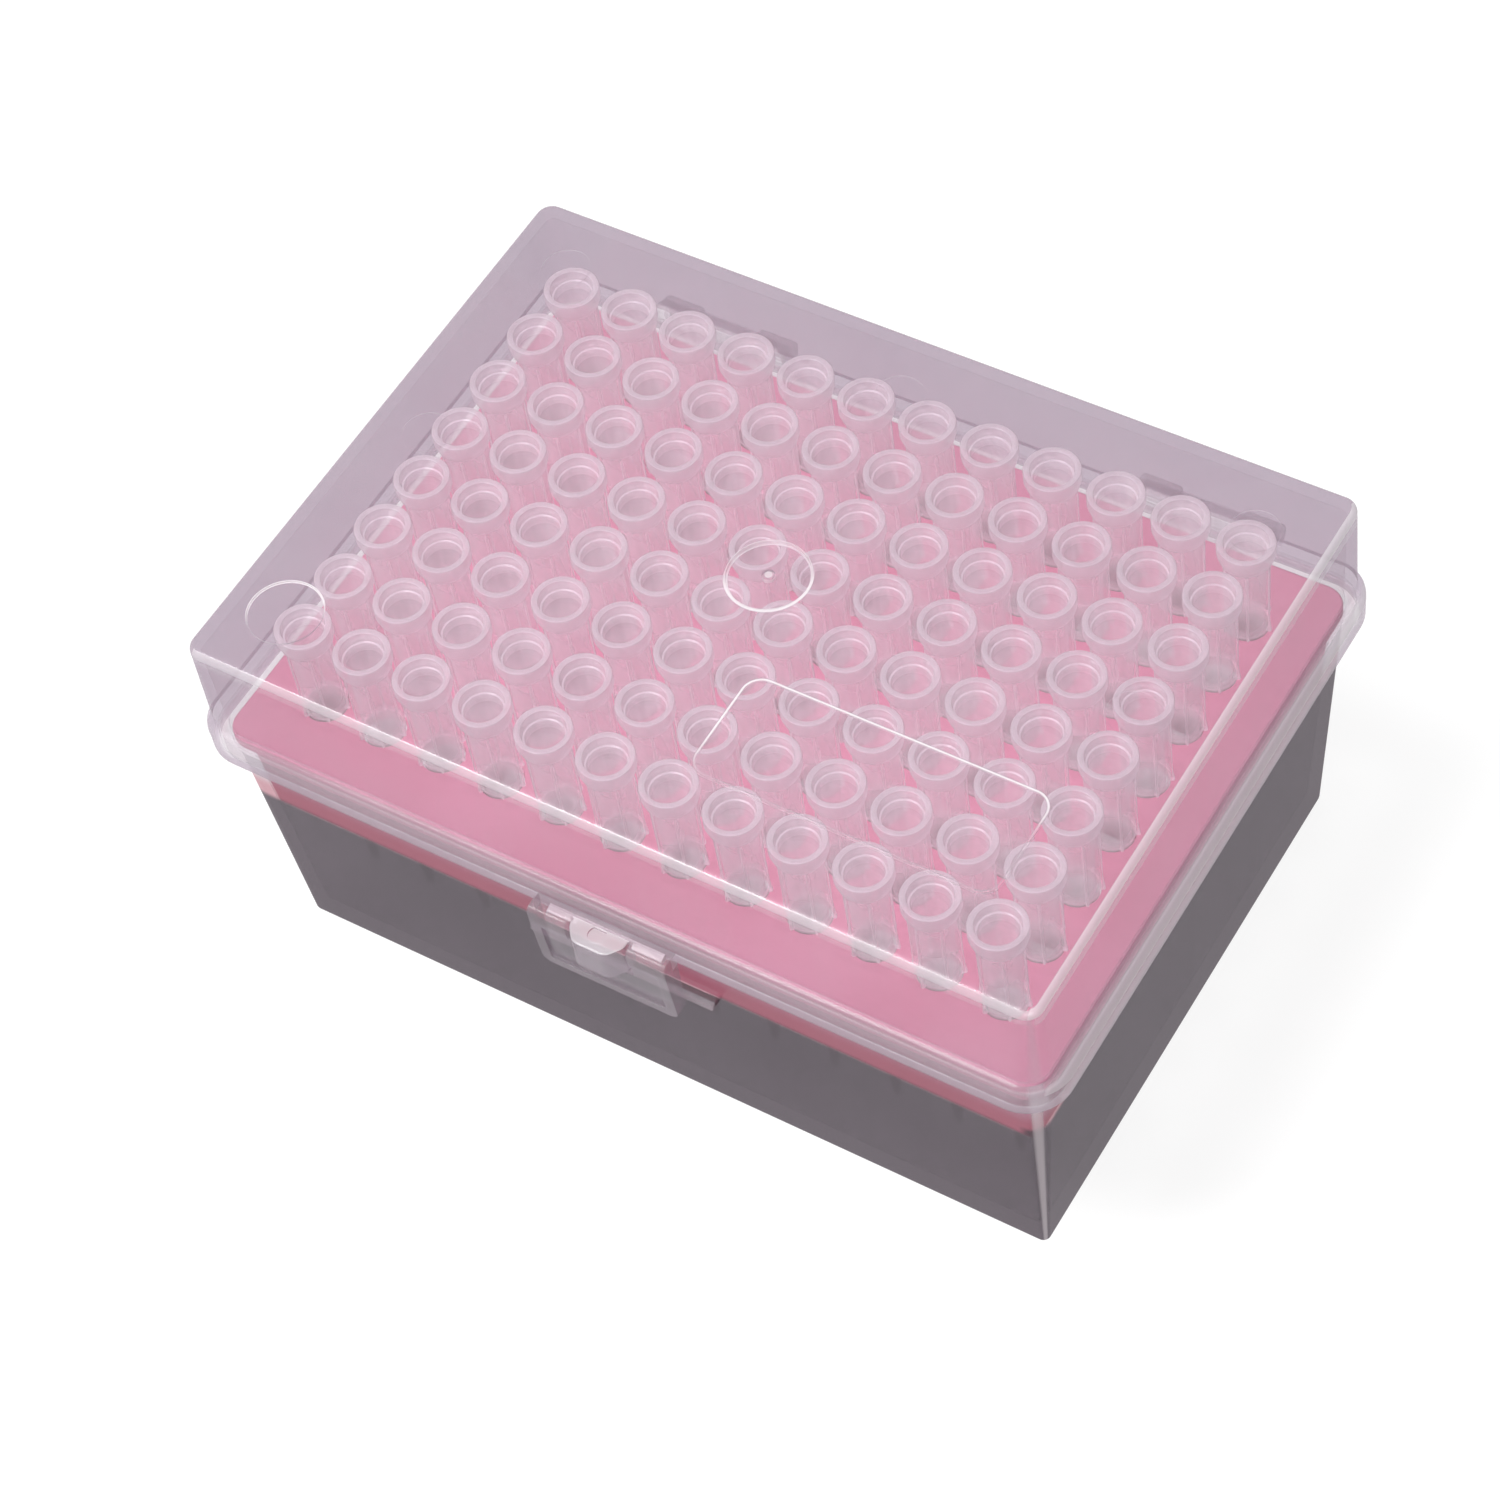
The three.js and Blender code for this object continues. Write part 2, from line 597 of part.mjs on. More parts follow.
// Outline of one hinge's pad from behind, wider at its foot.
function padOutline(x) {
  const foot = HINGE_WIDTH / 2;
  const shape = new THREE.Shape();
  shape.moveTo(x - foot, RIM_TOP);
  shape.lineTo(x + foot, RIM_TOP);
  shape.lineTo(x + foot - PAD_FLARE, RIM_TOP + PAD_RISE);
  shape.lineTo(x - foot + PAD_FLARE, RIM_TOP + PAD_RISE);
  return frontShape(shape, HALF_Y - LID_WALL_INSET - OVERLAP, HALF_Y + PAD_REACH);
}

// Two snap ears and the pad that joins them, for one hinge.
function hingeEars(x) {
  const root = HALF_Y - RIM_WALL + OVERLAP / 2;
  const earWidth = (HINGE_WIDTH - KNUCKLE_WIDTH) / 2 - FIT_GAP;
  const ears = [-1, 1].map((side) => sideProfile([
    [root, HINGE_Z],
    ...arc(HINGE_Y, HINGE_Z, EAR_RADIUS, -180, 90, 10),
    [HALF_Y + PAD_REACH, RIM_TOP + OVERLAP / 2],
    [root, RIM_TOP + OVERLAP / 2],
  ], earWidth, x + (side * (HINGE_WIDTH - earWidth)) / 2));
  const bore = barAlongX(EAR_BORE, HINGE_WIDTH + BEYOND, x, HINGE_Y, HINGE_Z, 12);
  const slot = block(
    [x - HINGE_WIDTH / 2 - BEYOND, HINGE_Y - EAR_MOUTH / 2, HINGE_Z - EAR_RADIUS - BEYOND],
    [x + HINGE_WIDTH / 2 + BEYOND, HINGE_Y + EAR_MOUTH / 2, HINGE_Z],
  );
  return union([...ears, padOutline(x)]).subtract(bore).subtract(slot);
}

// The raised outline of the label field.
function labelOutline() {
  const low = LID_TOP - LABEL_RISE;
  const high = LID_TOP + LABEL_RISE;
  const field = (inset, from, to) => loft([from, to].map((z) => ({
    z,
    outline: roundedRectangle(LABEL_WIDTH / 2 - inset, LABEL_HEIGHT / 2 - inset, LABEL_CORNER - inset),
  })));
  const line = field(0, low, high).subtract(field(LABEL_LINE, low - BEYOND, high + BEYOND));
  const x = HALF_X - LABEL_MARGIN_X - LABEL_WIDTH / 2;
  const y = -(HALF_Y - LABEL_MARGIN_Y) + LABEL_HEIGHT / 2;
  return line.translate([x, y, 0]);
}

// Gate recess with its nub, a bare round recess by one corner, and the label field.
function markTop(lid) {
  const gate = disc(GATE_RADIUS, GATE_DEPTH * 2, 0, 0, LID_TOP - GATE_DEPTH, 20);
  const nub = disc(NUB_RADIUS, GATE_DEPTH + OVERLAP, 0, 0, LID_TOP - GATE_DEPTH - OVERLAP, 10);
  const discX = -(HALF_X - DISC_MARGIN_X);
  const discY = -(HALF_Y - DISC_MARGIN_Y);
  const bare = disc(DISC_RADIUS, DISC_DEPTH * 2, discX, discY, LID_TOP - DISC_DEPTH, 20);
  return lid.subtract(gate).add(nub).subtract(bare).add(labelOutline());
}

function makeLid() {
  return markTop(union([lidShell(), makeLatch(), hingeEars(-HINGE_OFFSET), hingeEars(HINGE_OFFSET)]));
}

// ---------- assembly ----------

const clearPlastic = { color: 0xc9c2c8, roughness: 0.25, metalness: 0, transparent: true, opacity: 0.45 };
const smokePlastic = { color: 0x8d888e, roughness: 0.2, metalness: 0, transparent: true, opacity: 0.6 };
const milkyPlastic = { color: 0xe6d6de, roughness: 0.35, metalness: 0, transparent: true, opacity: 0.8 };
const pinkPlastic = { color: 0xd87aa0, roughness: 0.45, metalness: 0 };

function named(name, body, finish) {
  const mesh = new THREE.Mesh(geometryOf(body), new THREE.MeshStandardMaterial(finish));
  mesh.name = name;
  return mesh;
}

function makeBox() {
  const box = new THREE.Group();
  box.add(named('base_box', makeBase(), smokePlastic));
  box.add(named('tip_rack', makeRack(), pinkPlastic));
  box.add(named('lid', makeLid(), clearPlastic));
  const tip = looseTip();
  for (const { column, row, at } of tipPlaces(0, LOOSE_COLUMNS)) {
    const mesh = named(`tip_${'ABCDEFGH'[row]}${column + 1}`, tip, milkyPlastic);
    mesh.position.set(at[0], at[1], 0);
    box.add(mesh);
  }
  return box;
}

export default makeBox();
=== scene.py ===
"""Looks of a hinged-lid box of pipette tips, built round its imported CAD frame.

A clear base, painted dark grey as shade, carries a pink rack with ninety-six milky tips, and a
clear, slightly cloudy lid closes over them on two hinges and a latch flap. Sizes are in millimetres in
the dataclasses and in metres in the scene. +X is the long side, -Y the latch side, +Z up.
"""
import logging
import math
import random
from dataclasses import dataclass, field
from enum import Enum

import bmesh
import bpy
from mathutils import Euler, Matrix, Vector


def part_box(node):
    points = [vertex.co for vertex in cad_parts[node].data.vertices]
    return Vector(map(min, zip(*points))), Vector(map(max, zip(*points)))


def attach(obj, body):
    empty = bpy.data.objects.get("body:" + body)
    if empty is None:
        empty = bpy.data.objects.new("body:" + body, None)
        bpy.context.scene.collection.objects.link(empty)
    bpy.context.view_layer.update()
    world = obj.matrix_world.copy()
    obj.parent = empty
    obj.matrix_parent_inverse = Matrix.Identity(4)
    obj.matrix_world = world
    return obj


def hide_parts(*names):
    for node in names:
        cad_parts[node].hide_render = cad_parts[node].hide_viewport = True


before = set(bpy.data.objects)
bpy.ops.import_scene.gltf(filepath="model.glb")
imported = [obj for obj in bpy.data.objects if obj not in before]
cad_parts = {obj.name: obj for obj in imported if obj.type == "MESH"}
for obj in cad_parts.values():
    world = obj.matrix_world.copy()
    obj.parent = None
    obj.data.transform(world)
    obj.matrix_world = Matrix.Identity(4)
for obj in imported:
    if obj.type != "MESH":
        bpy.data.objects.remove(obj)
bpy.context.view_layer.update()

LOG = logging.getLogger("tip_box")
MM = 0.001
WELD_DISTANCE = 1e-7
OVERCUT = 5.0
LONGEST_ROUNDING = 0.49
EDGE_SOFTENING = 0.15
PLASTIC_IOR = 1.49
TRANSPARENT_BOUNCES = 72
ROW_LETTERS = "ABCDEFGH"
QUADRANTS = ((1, 1), (-1, 1), (-1, -1), (1, -1))

Point2 = tuple[float, float]
Outline = list[Point2]
Colour = tuple[float, float, float]
Piece = bpy.types.Object
Socket = bpy.types.NodeSocket

PIN_MARKS: tuple[Point2, ...] = ((-50.7, 32.7), (-51.7, 0.8), (0.1, 32.4), (50.4, 32.1), (50.0, 1.0))


class Body(Enum):
    """CAD bodies that pieces ride on."""

    BASE = "base"
    LID = "lid"


class Slot(Enum):
    """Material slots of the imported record."""

    BASE = "base"
    RACK = "rack"
    LID = "lid"
    TIP = "tip"


class Cut(Enum):
    """How one closed body is combined with another."""

    UNION = "UNION"
    DIFFERENCE = "DIFFERENCE"
    INTERSECT = "INTERSECT"


class Along(Enum):
    """Axis that a flat outline is extruded along."""

    X = "x"
    Y = "y"
    Z = "z"


class Side(Enum):
    """Walls of a hollow piece that a zone lies on, as the eye meets them, for painted shade on the near
    or far walls.
    """

    ANY = "any"
    NEAR = "near"
    FAR = "far"


# ---------------------------------------------------------------- frame


@dataclass(frozen=True)
class BoxFrame:
    """Places that every sub-assembly shares, in millimetres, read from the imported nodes."""

    half_x: float
    half_y: float
    lid_top: float
    tip_top: float
    plate_top: float
    pitch: float
    first_tip: Point2
    columns: int = 12
    rows: int = 8

    RACK_INSET = 2.8
    TIP_STAND = 15.8
    SEAT_GAP = 0.2
    LABEL_RISE = 0.2

    @classmethod
    def read(cls) -> "BoxFrame":
        """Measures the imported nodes.

        Returns:
            The shared places in millimetres.
        """
        rack_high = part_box("tip_rack")[1] / MM
        tip_low, tip_high = (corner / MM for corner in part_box("tip_A1"))
        next_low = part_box("tip_A2")[0] / MM
        return cls(
            half_x=rack_high.x + cls.RACK_INSET,
            half_y=rack_high.y + cls.RACK_INSET,
            lid_top=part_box("lid")[1].z / MM - cls.LABEL_RISE,
            tip_top=tip_high.z,
            plate_top=tip_high.z - cls.TIP_STAND - cls.SEAT_GAP,
            pitch=next_low.x - tip_low.x,
            first_tip=((tip_low.x + tip_high.x) / 2, (tip_low.y + tip_high.y) / 2),
        )

    def tip_place(self, column: int, row: int) -> Point2:
        """Axis of the tip in a column, from the left end, and a row, from the hinges."""
        return self.first_tip[0] + column * self.pitch, self.first_tip[1] - row * self.pitch


# ---------------------------------------------------------------- mesh tools


def show(name: str, data: bpy.types.ID | None) -> Piece:
    """Puts a new object with the given data in the scene."""
    made = bpy.data.objects.new(name, data)
    bpy.context.scene.collection.objects.link(made)
    return made


@dataclass
class Shell:
    """Points and faces gathered for one closed body, in millimetres."""

    points: list[Vector] = field(default_factory=list)
    faces: list[list[int]] = field(default_factory=list)

    def ring(self, points: list[Vector]) -> list[int]:
        """Adds points in order.

        Args:
            points: The points.

        Returns:
            Their indices.
        """
        start = len(self.points)
        self.points.extend(points)
        return list(range(start, len(self.points)))

    def skin(self, rings: list[list[int]], capped: bool = False) -> None:
        """Joins each ring with the next by a band of quads.

        Args:
            rings: Rings of equal count.
            capped: Whether one face closes the first ring and one the last.
        """
        for low, high in zip(rings, rings[1:]):
            for i in range(len(low)):
                j = (i + 1) % len(low)
                self.faces.append([low[i], low[j], high[j], high[i]])
        if capped:
            self.faces += [rings[0], rings[-1]]

    def to_object(self, name: str) -> Piece:
        """Makes a scene object of the body, with all faces turned outwards.

        Args:
            name: Name of the object and its mesh.

        Returns:
            The new object, in metres.
        """
        mesh = bpy.data.meshes.new(name)
        mesh.from_pydata([point * MM for point in self.points], [], self.faces)
        work = bmesh.new()
        work.from_mesh(mesh)
        bmesh.ops.remove_doubles(work, verts=work.verts, dist=WELD_DISTANCE)
        bmesh.ops.recalc_face_normals(work, faces=work.faces)
        work.to_mesh(mesh)
        work.free()
        return show(name, mesh)


def arc(centre: Point2, radii: Point2, start: float, end: float, steps: int) -> Outline:
    """Points of an elliptic arc from one angle in degrees to another."""
    angles = [math.radians(start + (end - start) * i / steps) for i in range(steps + 1)]
    return [(centre[0] + radii[0] * math.cos(a), centre[1] + radii[1] * math.sin(a)) for a in angles]


def circle(centre: Point2, radius: float, sides: int = 36) -> Outline:
    """Points of a full circle."""
    return arc(centre, (radius, radius), 0, 360 * (sides - 1) / sides, sides - 1)


def rectangle(left: float, right: float, low: float, high: float) -> Outline:
    """Corners of a rectangle."""
    return [(left, low), (right, low), (right, high), (left, high)]


def quarter_arc(quarter: int, half_x: float, half_y: float, radius: float, steps: int) -> Outline:
    """Rounded corner of a rectangle round the origin.

    Args:
        quarter: Its quarter, counter-clockwise from 0 where x and y are positive.
        half_x: Half the rectangle's length.
        half_y: Half its width.
        radius: Corner radius.
        steps: Segments in the corner.

    Returns:
        The corner's points.
    """
    side_x, side_y = QUADRANTS[quarter]
    centre = (side_x * (half_x - radius), side_y * (half_y - radius))
    return arc(centre, (radius, radius), quarter * 90, quarter * 90 + 90, steps)


def rounded_rectangle(half_x: float, half_y: float, radius: float, steps: int) -> Outline:
    """Outline of a rounded rectangle round the origin, counter-clockwise."""
    corners = (quarter_arc(quarter, half_x, half_y, radius, steps) for quarter in range(4))
    return [point for corner in corners for point in corner]


def rounded(corners: list[tuple[float, ...]], steps: int = 4, closed: bool = True) -> Outline:
    """Rounds the corners of an outline.

    Args:
        corners: Corners as x and y, then the distance from the corner at which its rounding
            starts, then its own count of segments. Corners with only x and y stay sharp.
        steps: Segments in the other roundings.
        closed: Whether the outline runs all round. If not, the first and last corner only
            give directions.

    Returns:
        The outline's points.
    """
    points: Outline = []
    for i in range(len(corners)) if closed else range(1, len(corners) - 1):
        x, y, radius, count = (*corners[i], *(0, steps)[len(corners[i]) - 2:])
        if not radius:
            points.append((x, y))
            continue
        corner = Vector((x, y))
        ends = []
        for turn in (-1, 1):
            edge = Vector(corners[(i + turn) % len(corners)][:2]) - corner
            reach = min(radius, edge.length * LONGEST_ROUNDING)
            ends.append(corner + edge.normalized() * reach)
        for step in range(count + 1):
            t = step / count
            point = ends[0] * (1 - t) ** 2 + corner * 2 * t * (1 - t) + ends[1] * t ** 2
            points.append((point.x, point.y))
    return points


def extrude(name: str, outline: Outline, along: Along, start: float, end: float) -> Piece:
    """Extrudes a flat outline into a closed body.

    Args:
        name: Name of the new object.
        outline: Points as (y, z) along X, (x, z) along Y or (x, y) along Z.
        along: Axis of the extrusion.
        start: Where it begins on that axis.
        end: Where it ends.

    Returns:
        The new object.
    """
    shell = Shell()
    rings = []
    for depth in (start, end):
        if along is Along.X:
            points = [Vector((depth, a, b)) for a, b in outline]
        elif along is Along.Y:
            points = [Vector((a, depth, b)) for a, b in outline]
        else:
            points = [Vector((a, b, depth)) for a, b in outline]
        rings.append(shell.ring(points))
    shell.skin(rings, capped=True)
    return shell.to_object(name)


def disc(name: str, centre: Point2, radius: float, low: float, high: float, sides: int = 96) -> Piece:
    """An upright round body between two heights."""
    return extrude(name, circle(centre, radius, sides), Along.Z, low, high)


def bake_modifiers(obj: Piece) -> None:
    """Replaces an object's mesh with the result of its modifiers, and removes them.

    Args:
        obj: The object.
    """
    graph = bpy.context.evaluated_depsgraph_get()
    made = bpy.data.meshes.new_from_object(obj.evaluated_get(graph))
    old, made.name = obj.data, obj.data.name
    obj.modifiers.clear()
    obj.data = made
    bpy.data.meshes.remove(old)


def combine(target: Piece, tool: Piece, cut: Cut = Cut.UNION) -> None:
    """Joins, cuts or intersects a body with another, which is used up.

    Args:
        target: The body that changes.
        tool: The body that is removed afterwards.
        cut: What to do.
    """
    modifier = target.modifiers.new("combine", "BOOLEAN")
    modifier.object, modifier.operation, modifier.solver = tool, cut.value, "EXACT"
    bake_modifiers(target)
    mesh = tool.data
    bpy.data.objects.remove(tool)
    bpy.data.meshes.remove(mesh)


def soften(obj: Piece, width: float = EDGE_SOFTENING, segments: int = 2, angle: float = 40) -> Piece:
    """Rounds a body's sharp edges.

    Args:
        obj: The body.
        width: Width of the rounding in millimetres.
        segments: Facets across it.
        angle: Edges sharper than this many degrees are rounded.

    Returns:
        The same body.
    """
    bevel = obj.modifiers.new("soften", "BEVEL")
    bevel.width, bevel.segments = width * MM, segments
    bevel.limit_method, bevel.angle_limit = "ANGLE", math.radians(angle)
    bevel.use_clamp_overlap = True
    bake_modifiers(obj)
    return obj


def smooth(obj: Piece, angle: float = 32) -> None:
    """Shades a body smooth, keeping flat faces flat.

    Args:
        obj: The body.
        angle: Edges sharper than this many degrees stay sharp.
    """
    mesh = obj.data
    mesh.polygons.foreach_set("use_smooth", [True] * len(mesh.polygons))
    mesh.set_sharp_from_angle(angle=math.radians(angle))
    weighted = obj.modifiers.new("weighted", "WEIGHTED_NORMAL")
    weighted.keep_sharp, weighted.weight = True, 80
    bake_modifiers(obj)


# ---------------------------------------------------------------- node tools


@dataclass
class Sheet:
    """A node tree with short calls for its nodes."""

    tree: bpy.types.NodeTree
    column: int = 0

    def node(
        self, kind: str, inputs: dict[str | int, object] | None = None, **settings: object,
    ) -> bpy.types.Node:
        """Adds a node.

        Args:
            kind: Its type name.
            inputs: Values or outputs for its sockets, by name or place.
            settings: Properties to set on it.

        Returns:
            The node.
        """
        made = self.tree.nodes.new(kind)
        made.location = (self.column * 180, -(self.column % 5) * 160)
        self.column += 1
        for name, value in settings.items():
            setattr(made, name, value)
        for name, value in (inputs or {}).items():
            self.feed(made.inputs[name], value)
        return made

    def feed(self, socket: Socket, value: object) -> None:
        """Links an output to a socket, or sets the socket to a plain value.

        Args:
            socket: The input.
            value: The output or value.
        """
        if isinstance(value, Socket):
            self.tree.links.new(value, socket)
        else:
            socket.default_value = value

    def math(self, operation: str, a: object, b: object = 0.0, clamp: bool = False) -> Socket:
        """A math operation on one or two values, kept between 0 and 1 on demand."""
        made = self.node("ShaderNodeMath", {0: a, 1: b}, operation=operation, use_clamp=clamp)
        return made.outputs[0]

    def chain(self, operation: str, values: tuple[object, ...]) -> Socket:
        """Applies one operation to several values, from first to last.

        Args:
            operation: Name of the operation.
            values: Values or outputs.

        Returns:
            The result.
        """
        whole = values[0]
        for value in values[1:]:
            whole = self.math(operation, whole, value)
        return whole

    def times(self, *values: object) -> Socket:
        """The product of several values."""
        return self.chain("MULTIPLY", values)

    def plus(self, *values: object) -> Socket:
        """The sum of several values."""
        return self.chain("ADD", values)

    def most(self, *values: object) -> Socket:
        """The greatest of several values."""
        return self.chain("MAXIMUM", values)

    def minus(self, a: object, b: object) -> Socket:
        """The difference of two values."""
        return self.math("SUBTRACT", a, b)

    def ramp(
        self, value: object, low: float, high: float, start: float = 0.0, end: float = 1.0,
    ) -> Socket:
        """Smooth change from one value to another while the input goes from low to high."""
        limits = {"From Min": low, "From Max": high, "To Min": start, "To Max": end}
        made = self.node(
            "ShaderNodeMapRange", {"Value": value, **limits}, interpolation_type="SMOOTHSTEP",
        )
        return made.outputs["Result"]

    def above(self, value: object, level: float, soft: float) -> Socket:
        """Mask that is 1 above a level in millimetres, with a soft edge."""
        return self.ramp(value, (level - soft) * MM, (level + soft) * MM)

    def band(self, value: object, low: float, high: float, soft: float) -> Socket:
        """Mask that is 1 between two values, with soft ends."""
        rise = self.ramp(value, low - soft, low + soft)
        return self.times(rise, self.ramp(value, high - soft, high + soft, 1.0, 0.0))

    def lifted(self, mask: object, least: float) -> Socket:
        """1 inside a mask and a lesser share outside it."""
        return self.plus(self.times(mask, 1.0 - least), least)

    def tone(self, share: object, first: object, second: object) -> Socket:
        """Mixes two colours by a share."""
        made = self.node("ShaderNodeMix", {0: share, 6: first, 7: second}, data_type="RGBA")
        return made.outputs[2]

    def noise(self, vector: object, scale: object) -> Socket:
        """Soft noise from 0 to 1, its scale in cells a metre."""
        made = self.node("ShaderNodeTexNoise", {"Vector": vector, "Scale": scale, "Detail": 0.0})
        return made.outputs["Fac"]

    def split(self, vector: object) -> bpy.types.NodeOutputs:
        """The three parts of a vector."""
        return self.node("ShaderNodeSeparateXYZ", {0: vector}).outputs

    def group(self, tree: bpy.types.NodeTree, **values: object) -> Socket:
        """Places a shared group.

        Args:
            tree: The group's node tree.
            values: Its inputs by name, with underscores for spaces.

        Returns:
            The group's output.
        """
        inputs = {name.replace("_", " "): value for name, value in values.items()}
        return self.node("ShaderNodeGroup", inputs, node_tree=tree).outputs[0]


def linear(*channels: float) -> tuple[float, ...]:
    """The linear colour that shaders take.

    Args:
        channels: Red, green and blue of a display colour, from 0 to 255.

    Returns:
        The colour with an alpha of 1.
    """
    shares = [channel / 255 for channel in channels]
    return (*(s / 12.92 if s <= 0.04045 else ((s + 0.055) / 1.055) ** 2.4 for s in shares), 1.0)


@dataclass(frozen=True)
class SharedEffects:
    """Node groups that several finishes use, built once."""

    haze: bpy.types.NodeTree
    surface: bpy.types.NodeTree
    gate_flow: bpy.types.NodeTree

    @classmethod
    def build(cls) -> "SharedEffects":
        """Makes the groups."""
        return cls(haze=cls.make_haze(), surface=cls.make_surface(), gate_flow=cls.make_gate_flow())

    @staticmethod
    def open_group(
        name: str, output: str, **inputs: float,
    ) -> tuple[Sheet, bpy.types.NodeOutputs, Socket]:
        """Starts a group that reads a place and some numbers and gives one number.

        Args:
            name: The group's name.
            output: Name of what it gives.
            inputs: Default of each number, with underscores for spaces.

        Returns:
            Its sheet, its inputs and the socket of its output.
        """
        tree = bpy.data.node_groups.new(name, "ShaderNodeTree")
        tree.interface.new_socket("Vector", in_out="INPUT", socket_type="NodeSocketVector")
        for label, value in inputs.items():
            socket = tree.interface.new_socket(
                label.replace("_", " "), in_out="INPUT", socket_type="NodeSocketFloat",
            )
            socket.default_value = value
        tree.interface.new_socket(output, in_out="OUTPUT", socket_type="NodeSocketFloat")
        sheet = Sheet(tree)
        source, result = sheet.node("NodeGroupInput"), sheet.node("NodeGroupOutput")
        return sheet, source.outputs, result.inputs[0]

    @classmethod
    def make_haze(cls) -> bpy.types.NodeTree:
        """Cloudiness of unfilled plastic: soft clouds with a fine grain over them."""
        sheet, source, result = cls.open_group(
            "plastic_haze", "Cloud", Cloud_Scale=60.0, Grain_Scale=2500.0, Grain=0.3,
        )
        cloud = sheet.noise(source["Vector"], source["Cloud Scale"])
        grain = sheet.noise(source["Vector"], source["Grain Scale"])
        part = sheet.times(sheet.minus(grain, 0.5), source["Grain"])
        sheet.feed(result, sheet.math("ADD", cloud, part, clamp=True))
        return sheet.tree

    @classmethod
    def make_surface(cls) -> bpy.types.NodeTree:
        """Moulded surface: flow waves, hairline handling scratches and a fine tool texture."""
        sheet, source, result = cls.open_group(
            "moulded_surface", "Height", Wave=0.5, Texture=0.2, Scratches=0.3,
        )
        turn = {"Vector": source["Vector"], "Rotation": (0.2, 0.1, 0.9), "Scale": (1.0, 0.12, 1.0)}
        waves = sheet.noise(sheet.node("ShaderNodeMapping", turn).outputs["Vector"], 190.0)
        away = sheet.math("ABSOLUTE", sheet.minus(waves, 0.62))
        scratch = sheet.times(sheet.ramp(away, 0.0, 0.006, 1.0, 0.0), source["Scratches"])
        fine = sheet.times(sheet.noise(source["Vector"], 1800.0), source["Texture"])
        height = sheet.plus(sheet.times(waves, source["Wave"]), fine)
        sheet.feed(result, sheet.minus(height, scratch))
        return sheet.tree

    @classmethod
    def make_gate_flow(cls) -> bpy.types.NodeTree:
        """Faint streaks that spread from a moulding gate at the middle of a panel."""
        sheet, source, result = cls.open_group("gate_flow", "Streak", Streaks=24.0)
        x, y, _ = sheet.split(source["Vector"])
        along = sheet.times(sheet.math("ARCTAN2", y, x), source["Streaks"])
        spread = sheet.node("ShaderNodeTexNoise", noise_dimensions="1D")
        sheet.feed(spread.inputs["W"], along)
        sheet.feed(spread.inputs["Scale"], 1.0)
        sheet.feed(result, spread.outputs["Fac"])
        return sheet.tree


# ---------------------------------------------------------------- finishes


@dataclass
class Coordinates:
    """Object coordinates and surface direction, split for masks."""

    vector: Socket
    x: Socket
    y: Socket
    z: Socket
    normal: Socket
    normal_x: Socket
    normal_y: Socket
    normal_z: Socket

    @classmethod
    def read(cls, sheet: Sheet) -> "Coordinates":
        """Adds the coordinate nodes to a material.

        Args:
            sheet: The material's sheet.

        Returns:
            Their outputs.
        """
        source = sheet.node("ShaderNodeTexCoord").outputs
        place, normal = source["Object"], source["Normal"]
        return cls(place, *sheet.split(place), normal, *sheet.split(normal))

    def near(self, sheet: Sheet, middle: float) -> Socket:
        """1 where the seen side of a hollow piece's wall faces away from its middle, otherwise 0.

        Args:
            sheet: The material's sheet.
            middle: Height of the piece's middle in millimetres.

        Returns:
            The mask.
        """
        inputs: dict[str | int, object] = {0: self.vector, 1: (0.0, 0.0, middle * MM)}
        away = sheet.node("ShaderNodeVectorMath", inputs, operation="SUBTRACT")
        inputs = {0: away.outputs["Vector"], 1: self.normal}
        along = sheet.node("ShaderNodeVectorMath", inputs, operation="DOT_PRODUCT")
        return sheet.above(along.outputs["Value"], 0.0, 2.0)


@dataclass(frozen=True)
class Zone:
    """A band of a clear piece: in zones it is thicker or frosted, and so more opaque; in tints it only
    marks where a painted shade tint applies.

    Bounds are in millimetres in the piece's own coordinates, and tilt is the range of the
    upward part of the surface's direction.
    """

    opacity: float
    x: Point2 | None = None
    y: Point2 | None = None
    z: Point2 | None = None
    tilt: Point2 | None = None
    soft: float = 0.12
    mirrored: bool = False
    side: Side = Side.ANY

    def mask(self, sheet: Sheet, at: Coordinates) -> Socket:
        """Where the zone lies.

        Args:
            sheet: The material's sheet.
            at: The material's coordinates.

        Returns:
            The mask, from 0 to 1.
        """
        along_x = sheet.math("ABSOLUTE", at.x) if self.mirrored else at.x
        parts = [
            sheet.band(value, limits[0] * MM, limits[1] * MM, self.soft * MM)
            for value, limits in ((along_x, self.x), (at.y, self.y), (at.z, self.z)) if limits
        ]
        if self.tilt:
            parts.append(sheet.band(at.normal_z, *self.tilt, 0.04))
        return sheet.times(*parts)


